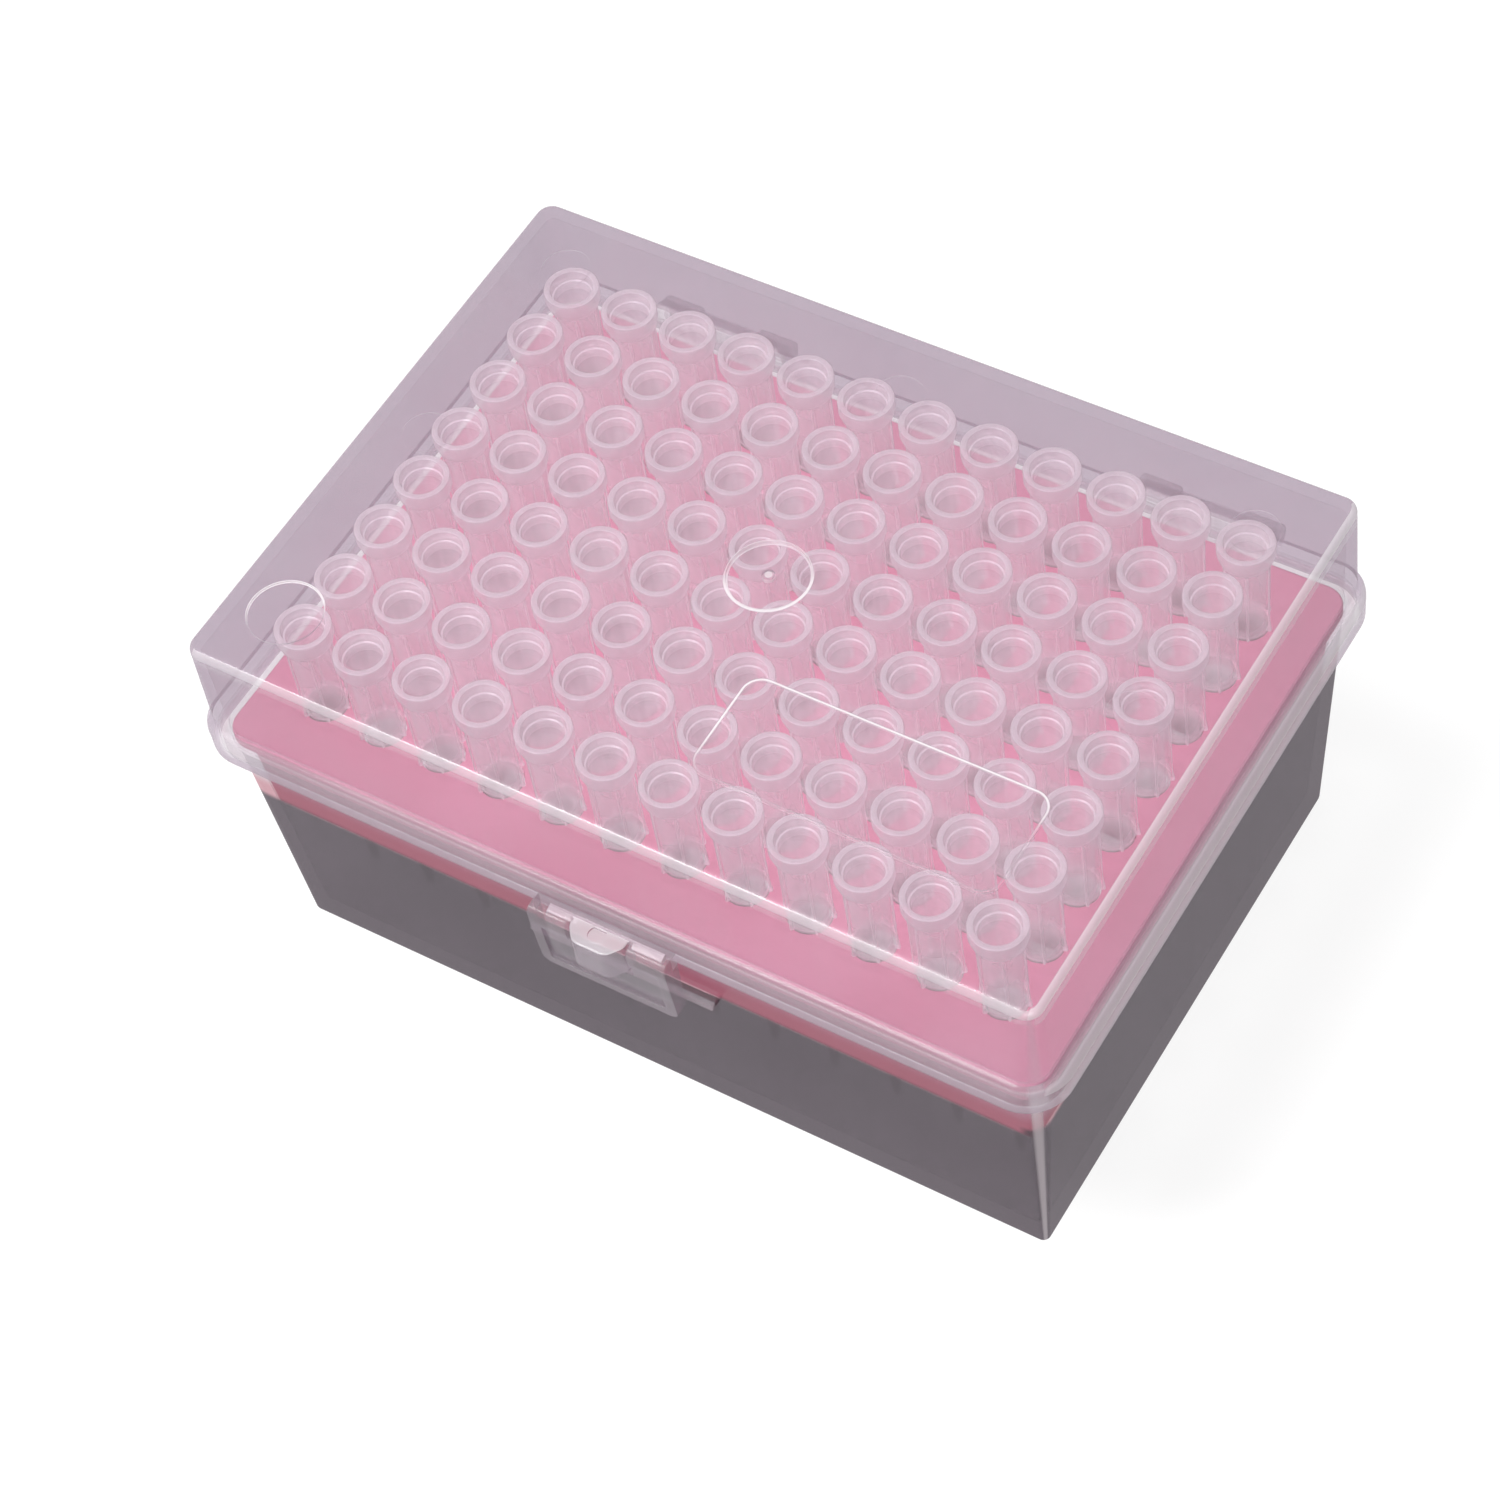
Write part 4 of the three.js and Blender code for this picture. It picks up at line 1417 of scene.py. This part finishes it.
@dataclass
class PipetteTips:
    """Ninety-six ribbed tips that stand in the rack by their feet."""

    plan: Plan
    finish: TipPlastic
    loose_columns: int = 7
    ribs: int = 6
    turn_range: float = 14.0
    first_turn: float = 10.0
    sharp_angle: float = 38.0
    seed: int = 7

    # angle in degrees and share of the rib's height, for one rib and the bare wall after it
    RIB_PROFILE = (
        (-5.0, 0), (-2.4, 1), (2.4, 1), (5.0, 0), (13.0, 0), (21.5, 0), (30.0, 0), (38.5, 0), (47.0, 0),
    )
    # depth below the mouth, radius and rib height, from the mouth down the outside to the nozzle
    OUTSIDE = (
        (0.00, 3.52, 0), (0.05, 3.65, 0), (0.20, 3.73, 0), (1.62, 3.73, 0), (1.76, 3.66, 0),
        (1.84, 3.49, 0), (2.58, 3.46, 0), (2.78, 3.36, 0), (3.02, 3.02, 0.02), (3.45, 2.98, 0.14),
        (4.20, 2.97, 0.25), (9.00, 2.93, 0.25), (12.6, 2.90, 0.27), (13.8, 2.88, 0.34),
        (14.7, 2.87, 0.45), (15.2, 2.86, 0.54), (15.6, 2.85, 0.56), (15.76, 2.82, 0.5),
        (15.8, 2.78, 0.38), (15.8, 2.64, 0.0), (16.1, 2.62, 0), (17.6, 2.58, 0),
        (30.0, 1.80, 0), (50.2, 0.50, 0), (50.4, 0.46, 0), (50.5, 0.40, 0),
    )
    # depth and radius, from the nozzle up the bore to the mouth
    INSIDE = (
        (50.5, 0.26), (50.2, 0.24), (30.0, 1.45), (17.6, 2.22), (3.20, 2.44), (1.75, 2.47),
        (1.50, 2.52), (1.40, 2.74), (0.30, 2.84), (0.08, 2.90), (0.00, 3.02),
    )

    def mesh(self) -> bpy.types.Mesh:
        """The mesh that every tip shares.

        Returns:
            The mesh, with its origin at the middle of the mouth.
        """
        rays = [
            (math.radians(rib * 360 / self.ribs + angle), share)
            for rib in range(self.ribs) for angle, share in self.RIB_PROFILE
        ]
        shell = Shell()
        rings = []
        for depth, radius, height in (*self.OUTSIDE, *((d, r, 0) for d, r in self.INSIDE)):
            spans = [(angle, radius + height * share) for angle, share in rays]
            rings.append(shell.ring([
                Vector((reach * math.cos(a), reach * math.sin(a), -depth)) for a, reach in spans
            ]))
        shell.skin(rings + rings[:1])
        tip = shell.to_object("pipette_tip")
        smooth(tip, self.sharp_angle)
        mesh = tip.data
        bpy.data.objects.remove(tip)
        return mesh

    def build(self, effects: SharedEffects) -> list[Piece]:
        """Builds all tips, dresses them and seats them in the rack.

        Args:
            effects: The shared node groups.

        Returns:
            The finished pieces.
        """
        box, mesh = self.plan.box, self.mesh()
        mesh.materials.append(self.finish.build(effects))
        turns = random.Random(self.seed)
        tips = []
        for column in range(box.columns):
            for row in range(box.rows):
                name = f"{ROW_LETTERS[row]}{column + 1}"
                tip = show(f"pipette_tip_{name}", mesh)
                x, y = box.tip_place(column, row)
                turn = self.first_turn + turns.uniform(-self.turn_range, self.turn_range)
                tip.location = (x * MM, y * MM, box.tip_top * MM)
                tip.rotation_euler = (0, 0, math.radians(turn))
                tip.visible_shadow = False
                if column < self.loose_columns:
                    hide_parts(f"tip_{name}")
                tips.append(place(tip, Body.BASE, Slot.TIP))
        return tips


@dataclass
class Latch:
    """Flap with its raised band and borders, notch and thumb knob."""

    plan: Plan
    rim_wall: float
    rim_bottom: float
    width: float = 20.0
    height: float = 12.0
    corner: float = 1.5
    reach: float = 1.7
    shoulder: float = 2.3
    tilt: float = 0.8
    wall: float = 1.2
    ledge: float = 1.1
    border: float = 1.6
    top_band: float = 3.3
    panel_sink: float = 0.35
    notch_width: float = 8.8
    notch_depth: float = 6.0
    hook_height: float = 0.6
    hook_inset: float = 0.4
    catch_face: float = -42.99
    fit: float = 0.3
    knob_width: float = 8.0
    knob_nose: float = 4.8
    knob_reach: float = 3.3
    knob_straight: float = 1.2
    knob_height: float = 5.3
    dimple_radius: float = 1.2
    dimple_depth: float = 0.3
    dimple_reach: float = 1.0

    @property
    def rim(self) -> float:
        """The rim's outer face along Y."""
        return -self.plan.box.half_y

    @property
    def face(self) -> float:
        """The flap's outermost face along Y."""
        return self.rim - self.reach

    @property
    def top(self) -> float:
        """Height of the flap's ledge."""
        return self.rim_bottom + self.fit

    @property
    def turn(self) -> float:
        """Height at which the ledge has rounded over into the face."""
        return self.top - self.shoulder

    @property
    def foot(self) -> float:
        """Height of the flap's lower edge."""
        return self.rim_bottom - self.height

    def plate(self) -> Piece:
        """The flap's wall: a ledge out of the rim that rounds over into a leaning face.

        Returns:
            The wall.
        """
        rim, face, foot, back = self.rim, self.face, self.foot, self.rim + self.rim_wall
        high, low = self.rim_bottom + self.ledge, self.rim_bottom - self.ledge
        outline = rounded([
            (back, high), (rim, high), (rim, self.top), (face, self.top, self.shoulder, 10),
            (face, self.turn), (face + self.tilt, foot), (face + self.tilt + self.wall, foot),
            (face + self.wall, self.turn + 0.4, 1.2, 6), (back, low),
        ])
        return extrude("flap_plate", outline, Along.X, -self.width / 2, self.width / 2)

    def frame_parts(self) -> list[Piece]:
        """Side walls and lower lip behind the flap's face.

        Returns:
            The three bodies.
        """
        face, foot = self.face + self.wall / 2, self.foot
        lean, back, top = face + self.tilt, self.rim + self.rim_wall, self.rim_bottom - self.ledge / 2
        side = [(face, top), (lean, foot), (back, foot), (back, top)]
        half, inner = self.width / 2, self.width / 2 - self.border
        lip = rectangle(lean, self.catch_face - self.fit, foot, foot + self.hook_height)
        reach = half - self.hook_inset
        return [
            extrude("flap_side", side, Along.X, -half, -inner),
            extrude("flap_side", side, Along.X, inner, half),
            extrude("flap_lip", lip, Along.X, -reach, reach),
        ]

    def silhouette(self) -> Piece:
        """The flap's front outline, with rounded lower corners, as a thick body.

        Returns:
            The body.
        """
        half, top = self.width / 2, self.rim_bottom + self.ledge
        corners = [(-half, top), (-half, self.foot, self.corner), (half, self.foot, self.corner)]
        outline = rounded([*corners, (half, top)], 8)
        return extrude("flap_outline", outline, Along.Y, self.face - OVERCUT, self.rim + OVERCUT)

    def panel_tool(self) -> Piece:
        """What is taken out of the face to leave a raised band and borders.

        Returns:
            The body.
        """
        low, high, out = self.foot + self.border, self.top - self.top_band, self.face - OVERCUT
        slope = self.tilt / (self.turn - self.foot)
        floor = [(self.face + slope * (self.turn - z) + self.panel_sink, z) for z in (low, high)]
        half = self.width / 2 - self.border
        return extrude("panel_tool", [(out, high), (out, low), *floor], Along.X, -half, half)

    def notch_tool(self) -> Piece:
        """What is taken out of the flap round its knob.

        Returns:
            The body.
        """
        half, floor, over = self.notch_width / 2, self.rim_bottom - self.notch_depth, self.top + 3
        outline = rounded([(-half, floor, 0.6), (half, floor, 0.6), (half, over), (-half, over)])
        return extrude("notch_tool", outline, Along.Y, self.face - OVERCUT, self.rim - 0.2)

    def knob(self) -> Piece:
        """The thumb knob, narrowing towards its front, with a dimple on top.

        Returns:
            The knob.
        """
        half, nose = self.knob_width / 2, self.knob_nose / 2
        root, front = self.rim + self.rim_wall * 0.7, self.rim - self.knob_reach
        straight = self.rim - self.knob_straight
        outline = rounded([
            (-half, root), (-half, straight, 0.5), (-nose, front, 0.9),
            (nose, front, 0.9), (half, straight, 0.5), (half, root),
        ], 5)
        knob = extrude("thumb_knob", outline, Along.Z, self.top - self.knob_height, self.top)
        soften(knob, 0.3, 3)
        centre, low = (0.0, self.rim - self.dimple_reach), self.top - self.dimple_depth
        dimple = disc("knob_dimple", centre, self.dimple_radius, low, self.top + OVERCUT, 48)
        combine(knob, dimple, Cut.DIFFERENCE)
        return knob

    def build(self) -> Piece:
        """Builds the latch as one closed body.

        Returns:
            The body, ready to be joined to the lid.
        """
        flap = self.plate()
        for part in self.frame_parts():
            combine(flap, part)
        combine(flap, self.silhouette(), Cut.INTERSECT)
        combine(flap, self.panel_tool(), Cut.DIFFERENCE)
        combine(flap, self.notch_tool(), Cut.DIFFERENCE)
        soften(flap, 0.16, 2, 35)
        combine(flap, self.knob())
        return flap


@dataclass
class Lid:
    """Cover with rim and shoulder, hinge ears, latch and the marks moulded in its top."""

    plan: Plan
    finish: ClearPlastic
    base: BaseTub
    wall: float = 1.2
    rim_wall: float = 1.1
    rim_drop: float = 1.8
    rim_height: float = 2.8
    shoulder_height: float = 2.0
    wall_inset: float = 1.4
    draft: float = 0.45
    edge: float = 1.1
    fit: float = 0.3
    mouth_gap: float = 0.8
    ear_wall: float = 0.9
    ear_mouth: float = 1.6
    pad_rise: float = 1.7
    pad_reach: float = 0.9
    pad_flare: float = 1.5
    gate_radius: float = 5.4
    gate_depth: float = 0.6
    nub_radius: float = 0.9
    disc_margin: Point2 = (10.5, 12.4)
    disc_radius: float = 4.95
    disc_depth: float = 0.25
    label_size: Point2 = (42.0, 16.0)
    label_margin: Point2 = (13.9, 14.1)
    label_line: float = 0.4
    label_rise: float = BoxFrame.LABEL_RISE
    label_corner: float = 2.6
    pin_mark_radius: float = 3.3
    pin_mark_depth: float = 0.07
    corners: tuple[Point2, ...] = ((43.0, 6.0), (45.0, 5.0), (60.0, 4.1))

    @property
    def rim_bottom(self) -> float:
        """Height of the rim's lower edge."""
        return self.plan.box.plate_top - self.rim_drop

    @property
    def rim_top(self) -> float:
        """Height of the rim's upper edge, where the shoulder starts."""
        return self.rim_bottom + self.rim_height

    def section(self) -> Outline:
        """The lid's section.

        Returns:
            Its points, from the middle of its top outwards, down and back up inside.
        """
        box, edge, wall_inset, rim_wall = self.plan.box, self.edge, self.wall_inset, self.rim_wall
        top, top_inset, ceiling = box.lid_top, wall_inset + self.draft, box.tip_top + self.mouth_gap
        ledge = box.plate_top + self.base.collar_rise + self.fit
        inner_foot, inner_top = wall_inset + self.wall + self.draft / 3, top_inset + self.wall
        shoulder = arc((wall_inset, self.rim_top), (wall_inset, self.shoulder_height), 90, 180, 10)
        wall_foot = (wall_inset, self.rim_top + self.shoulder_height, 0.5)
        return [
            *arc((top_inset + edge, top - edge), (edge, edge), 90, 180, 8),
            *rounded([(top_inset, top - edge), wall_foot, shoulder[1]], closed=False),
            *shoulder[2:],
            *rounded([
                (0, self.rim_top), (0, self.rim_bottom, 0.4, 5), (rim_wall, self.rim_bottom, 0.2),
                (rim_wall, ledge, 0.3), (inner_foot, ledge, 0.3), (inner_top, ceiling, 0.9, 6),
                (inner_top + 4, ceiling),
            ], closed=False),
        ]

    def hinge_ears(self, x: float) -> Piece:
        """Two snap ears and the pad that joins them.

        Args:
            x: Middle of the hinge.

        Returns:
            The ears and pad as one body.
        """
        base, half_y, rim_top = self.base, self.plan.box.half_y, self.rim_top
        axis, half, mouth = (base.hinge_y, base.hinge_z), base.hinge_width / 2, self.ear_mouth / 2
        root, bore = half_y - self.rim_wall + 0.2, base.pin_radius + self.fit
        outer, width = bore + self.ear_wall, half - base.knuckle_width / 2 - self.fit
        front, reach = half_y - self.wall_inset - 0.4, half_y + self.pad_reach
        narrow, pad_top = half - self.pad_flare, rim_top + self.pad_rise
        pad = rounded([
            (x - half, rim_top), (x + half, rim_top),
            (x + narrow, pad_top, 0.5), (x - narrow, pad_top, 0.5),
        ])
        body = soften(extrude("hinge_pad", pad, Along.Y, front, reach))
        ear = [
            (root, base.hinge_z), *arc(axis, (outer, outer), -180, 90, 24),
            (reach, rim_top + 0.2), (root, rim_top + 0.2),
        ]
        for start, end in ((x - half, x - half + width), (x + half - width, x + half)):
            combine(body, soften(extrude("hinge_ear", ear, Along.X, start, end), 0.12))
        low = base.hinge_z - outer - OVERCUT
        slot = rectangle(base.hinge_y - mouth, base.hinge_y + mouth, low, base.hinge_z)
        for name, outline in (("ear_bore", circle(axis, bore)), ("ear_slot", slot)):
            tool = extrude(name, outline, Along.X, x - half - OVERCUT, x + half + OVERCUT)
            combine(body, tool, Cut.DIFFERENCE)
        return body

    def label_frame(self) -> Piece:
        """The raised outline of the label field.

        Returns:
            The outline as a closed body.
        """
        box, top = self.plan.box, self.plan.box.lid_top
        half_x, half_y = self.label_size[0] / 2, self.label_size[1] / 2
        centre_x = box.half_x - self.label_margin[0] - half_x
        centre_y = -(box.half_y - self.label_margin[1]) + half_y
        bodies = []
        for inset, low, high in (
            (0.0, top - 0.2, top + self.label_rise), (self.label_line, top - OVERCUT, top + OVERCUT),
        ):
            points = rounded_rectangle(half_x - inset, half_y - inset, self.label_corner - inset, 8)
            outline = [(x + centre_x, y + centre_y) for x, y in points]
            bodies.append(extrude("label_frame", outline, Along.Z, low, high))
        combine(*bodies, Cut.DIFFERENCE)
        return bodies[0]

    def mark_top(self, lid: Piece) -> None:
        """Cuts the gate recess, the bare disc and the pin marks, and adds the nub and label frame.

        Args:
            lid: The lid's body.
        """
        box, top = self.plan.box, self.plan.box.lid_top
        bare = (-(box.half_x - self.disc_margin[0]), -(box.half_y - self.disc_margin[1]))
        recesses = (
            ((0.0, 0.0), self.gate_radius, self.gate_depth),
            (bare, self.disc_radius, self.disc_depth),
            *((centre, self.pin_mark_radius, self.pin_mark_depth) for centre in PIN_MARKS),
        )
        for centre, radius, depth in recesses:
            tool = disc("recess", centre, radius, top - depth, top + OVERCUT)
            combine(lid, tool, Cut.DIFFERENCE)
        nub = disc("gate_nub", (0.0, 0.0), self.nub_radius, top - self.gate_depth - 0.3, top, 40)
        combine(lid, soften(nub, 0.12))
        combine(lid, self.label_frame())

    def build(self, effects: SharedEffects) -> Piece:
        """Builds the lid and dresses it.

        Args:
            effects: The shared node groups.

        Returns:
            The finished piece.
        """
        lid = self.plan.walled("lid_cover", self.section(), self.corners)
        for side in (-1, 1):
            combine(lid, self.hinge_ears(side * self.base.hinge_offset))
        combine(lid, Latch(self.plan, self.rim_wall, self.rim_bottom).build())
        self.mark_top(lid)
        smooth(lid)
        lid.data.materials.append(self.finish.build(effects))
        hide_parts("lid")
        return place(lid, Body.LID, Slot.LID)


# ---------------------------------------------------------------- studio


@dataclass(frozen=True)
class Softbox:
    """One area lamp, aimed at the middle of the box."""

    name: str
    azimuth: float
    elevation: float
    distance: float
    size: Point2
    power: float

    def build(self, target: Vector) -> None:
        """Hangs the lamp.

        Args:
            target: What it is aimed at.
        """
        lamp = bpy.data.lights.new(self.name, "AREA")
        lamp.shape, lamp.size, lamp.size_y = "RECTANGLE", *self.size
        lamp.energy = self.power
        turn, rise = math.radians(self.azimuth), math.radians(self.elevation)
        level = math.cos(rise)
        away = Vector((math.sin(turn) * level, -math.cos(turn) * level, math.sin(rise)))
        hung = show(self.name, lamp)
        hung.location = target + away * self.distance
        hung.rotation_euler = away.to_track_quat("Z", "Y").to_euler()


@dataclass
class Studio:
    """Floor, world, lamps and camera."""

    box: BoxFrame
    camera_from_mouths: tuple[float, float, float] = (194.87, -247.44, 387.24)
    camera_turn: tuple[float, float, float] = (36.40492, 6.23989, 30.95751)
    lens: float = 96.848
    sensor: float = 36.0
    clip: Point2 = (0.01, 50.0)
    floor_half: float = 4.0
    floor_drop: float = 0.0002
    floor_grey: float = 0.26
    floor_white: float = 0.8
    floor_bounce: float = 0.22
    ambient: float = 0.45
    lamps: tuple[Softbox, ...] = (
        Softbox("key_softbox", -43.3, 61.0, 0.9, (0.24, 0.42), 6.0),
        Softbox("top_softbox", 20.0, 82.0, 1.3, (1.0, 1.0), 3.6),
        Softbox("front_fill", 42.0, 24.0, 1.6, (1.2, 0.8), 8.0),
    )

    def seen_plain(self, sheet: Sheet) -> Socket:
        """1 for rays that should meet a plain white surrounding, otherwise 0."""
        path = sheet.node("ShaderNodeLightPath").outputs
        return sheet.most(*(path[f"Is {kind} Ray"] for kind in ("Camera", "Glossy", "Transmission")))

    def world(self) -> None:
        """Even pale surrounding light, seen as white."""
        world = bpy.data.worlds.new("studio")
        bpy.context.scene.world = world
        world.use_nodes = True
        world.node_tree.nodes.clear()
        sheet = Sheet(world.node_tree)
        light, white = (
            sheet.node("ShaderNodeBackground", {"Strength": strength}).outputs[0]
            for strength in (self.ambient, 1.0)
        )
        inputs = {"Fac": self.seen_plain(sheet), 1: light, 2: white}
        mix = sheet.node("ShaderNodeMixShader", inputs).outputs[0]
        sheet.node("ShaderNodeOutputWorld", {"Surface": mix})

    def floor(self) -> None:
        """A pale floor that keeps the box's soft shadow."""
        half, grey = self.floor_half, self.floor_grey
        mesh = bpy.data.meshes.new("studio_floor")
        corners = [(half * side_x, half * side_y, 0) for side_x, side_y in QUADRANTS]
        mesh.from_pydata(corners, [], [[0, 1, 2, 3]])
        floor = show("studio_floor", mesh)
        floor.location.z = -self.floor_drop
        material, sheet, output = start_material("studio_floor")
        paint = sheet.node("ShaderNodeBsdfDiffuse", {"Color": (grey, grey, grey, 1.0)}).outputs[0]
        seen = sheet.times(self.seen_plain(sheet), self.floor_white - self.floor_bounce)
        strength = sheet.plus(seen, self.floor_bounce)
        glow = sheet.node("ShaderNodeEmission", {"Strength": strength}).outputs[0]
        sheet.feed(output, sheet.node("ShaderNodeAddShader", {0: paint, 1: glow}).outputs[0])
        mesh.materials.append(material)

    def camera(self) -> None:
        """The camera, at its place from the middle of the tips' mouths."""
        data = bpy.data.cameras.new("view")
        data.lens, data.sensor_width = self.lens, self.sensor
        data.clip_start, data.clip_end = self.clip
        camera = show("view", data)
        camera.location = (Vector(self.camera_from_mouths) + Vector((0, 0, self.box.tip_top))) * MM
        camera.rotation_euler = Euler([math.radians(turn) for turn in self.camera_turn])
        bpy.context.scene.camera = camera

    def build(self) -> None:
        """Sets up the whole studio."""
        scene = bpy.context.scene
        scene.view_settings.view_transform = "Standard"
        scene.cycles.transparent_max_bounces = TRANSPARENT_BOUNCES
        self.camera()
        self.world()
        self.floor()
        for lamp in self.lamps:
            lamp.build(Vector((0, 0, self.box.plate_top * MM)))
        LOG.info("studio with %d lamps", len(self.lamps))


# painted highlights on the edges of the gate recess and nub, the bare disc, the label frame and the pin
# marks
LID_MARK_HIGHLIGHTS = (
    ring_edge_highlight((0.0, 0.0), 5.35, 0.4, 0.7, lit=(0.5, -0.85), faint=0.75),
    ring_edge_highlight((0.1, -0.18), 5.5, 0.4, 0.85, lit=(0.5, -0.85), faint=0.2),
    ring_edge_highlight((0.0, 0.0), 0.2, 0.7, 0.6, faint=1.0),
    ring_edge_highlight((-51.5, -31.7), 4.95, 0.28, 0.8),
    MarkEdgeHighlight((27.1, -22.0), (20.8, 7.8), 2.5, 0.3, 0.9),
    *(ring_edge_highlight(centre, 3.3, 0.16, 0.2) for centre in PIN_MARKS),
)

LID_FINISH = ClearPlastic(
    name="lid_cloudy_plastic",
    milk=(208, 200, 206),
    bright_milk=(232, 226, 230),
    tint=(0.8, 0.765, 0.795),
    # painted shade: what comes through the far walls is darker than through the near walls, whose tint
    # is the lid's own
    far_tint=(0.56, 0.49, 0.57),
    middle=42.0,
    wall_opacity=0.17,
    cloudiness=0.08,
    grazing=0.2,
    corner_highlight_opacity=0.22,
    marks=LID_MARK_HIGHLIGHTS,
    # painted shade on the far rim; the back and left shoulder tops and the hinge pads are left lighter
    tints=(
        (Zone(1.0, z=(36, 45.1), soft=0.3, side=Side.FAR), (0.67, 0.6, 0.68)),
        (Zone(1.0, y=(42.6, 60), z=(42.6, 45.2), tilt=(0.15, 1.1)), (0.97, 0.96, 0.97)),
        (Zone(1.0, x=(-70, -60.5), z=(42.6, 45.2), tilt=(0.15, 1.1)), (0.97, 0.96, 0.97)),
        (Zone(1.0, x=(25.8, 47.2), y=(41, 60), z=(30, 46), mirrored=True), (0.9, 0.88, 0.9)),
    ),
    zones=(
        Zone(0.5, z=(58.75, 62), tilt=(-0.6, 0.9), x=(-58.8, 70), y=(-50, 40.8)),
        Zone(0.3, z=(57.7, 58.8), tilt=(-0.5, 0.5), y=(-60, -41.6), soft=0.2),
        Zone(0.34, z=(57.2, 58.8), tilt=(-0.5, 0.5), x=(59.5, 70), soft=0.3),
        Zone(0.64, z=(58.75, 62), tilt=(-0.6, 0.95), x=(59, 70)),
        Zone(0.2, z=(58.75, 62), tilt=(-0.6, 0.9)),
        Zone(0.24, z=(42.6, 44.9), tilt=(0.05, 0.97), soft=0.4),
        Zone(0.47, x=(60.4, 70), z=(42.4, 44.9), tilt=(0.05, 0.97), soft=0.4),
        Zone(0.3, x=(61.5, 70), z=(40, 43)),
        Zone(0.4, z=(38, 40.4), y=(-44.2, 44.2)),
        Zone(0.12, y=(-60, -44.15)),
        Zone(0.2, y=(-60, -44.15), z=(37.1, 42)),
        Zone(0.2, y=(-60, -44.15), x=(8.45, 12), mirrored=True),
        Zone(0.2, y=(-60, -44.15), z=(20, 29.7)),
        Zone(0.24, y=(-60, -43.6), x=(-4.1, 4.1), z=(35.0, 42)),
        Zone(0.55, y=(-60, -43.6), x=(-4.1, 4.1), z=(40.0, 42), tilt=(0.5, 1.5)),
        Zone(0.22, y=(44.2, 60)),
    ),
)

BASE_FINISH = ClearPlastic(
    name="base_plastic_painted_shade",
    # painted shade: the dark grey milk and the near tint stand in for the shadowed inside of the clear
    # tub; the milk turns to bright_milk above bright_above, and far walls stay nearly clear
    milk=(125, 119, 126),
    bright_milk=(226, 212, 218),
    tint=(0.8, 0.8, 0.82),
    far_tint=(0.97, 0.96, 0.97),
    middle=20.0,
    # painted shade on the near walls: deep pink below the skirt's top, nearly black below the catch rib
    # and, on the right wall, a little higher; the collar, back and catch rib are left nearly clear
    tints=(
        (Zone(1.0, z=(-1, 34), soft=2.0, side=Side.NEAR), (0.72, 0.4, 0.45)),
        (Zone(1.0, z=(-1, 29.6), soft=0.8, side=Side.NEAR), (0.125, 0.1, 0.12)),
        (Zone(1.0, x=(56, 70), z=(-1, 31.0), soft=0.8, side=Side.NEAR), (0.125, 0.1, 0.12)),
        (Zone(1.0, z=(39.7, 50)), (0.96, 0.92, 0.94)),
        (Zone(1.0, y=(42.8, 60)), (0.98, 0.97, 0.98)),
        (Zone(1.0, y=(-60, -41.8), z=(28, 32)), (0.95, 0.93, 0.95)),
    ),
    wall_opacity=0.2,
    cloudiness=0.05,
    grazing=0.12,
    corner_highlight_opacity=0.55,
    far_share=0.25,
    bright_above=39.7,
    bright_share=0.3,
    lamp_tint=0.94,
    zones=(
        Zone(0.3, y=(-60, -41.8), z=(28, 32)),
        Zone(0.1, y=(41.8, 60), z=(30, 43)),
    ),
)


def main() -> None:
    """Builds the box piece by piece and sets up its studio."""
    logging.basicConfig(level=logging.INFO, format="%(name)s %(message)s")
    box = BoxFrame.read()
    plan = Plan(box)
    Studio(box).build()
    effects = SharedEffects.build()
    base = BaseTub(plan, BASE_FINISH)
    base.build(effects)
    TipRack(plan, base, RackPlastic()).build(effects)
    PipetteTips(plan, TipPlastic()).build(effects)
    Lid(plan, LID_FINISH, base).build(effects)


if __name__ == "__main__":
    main()
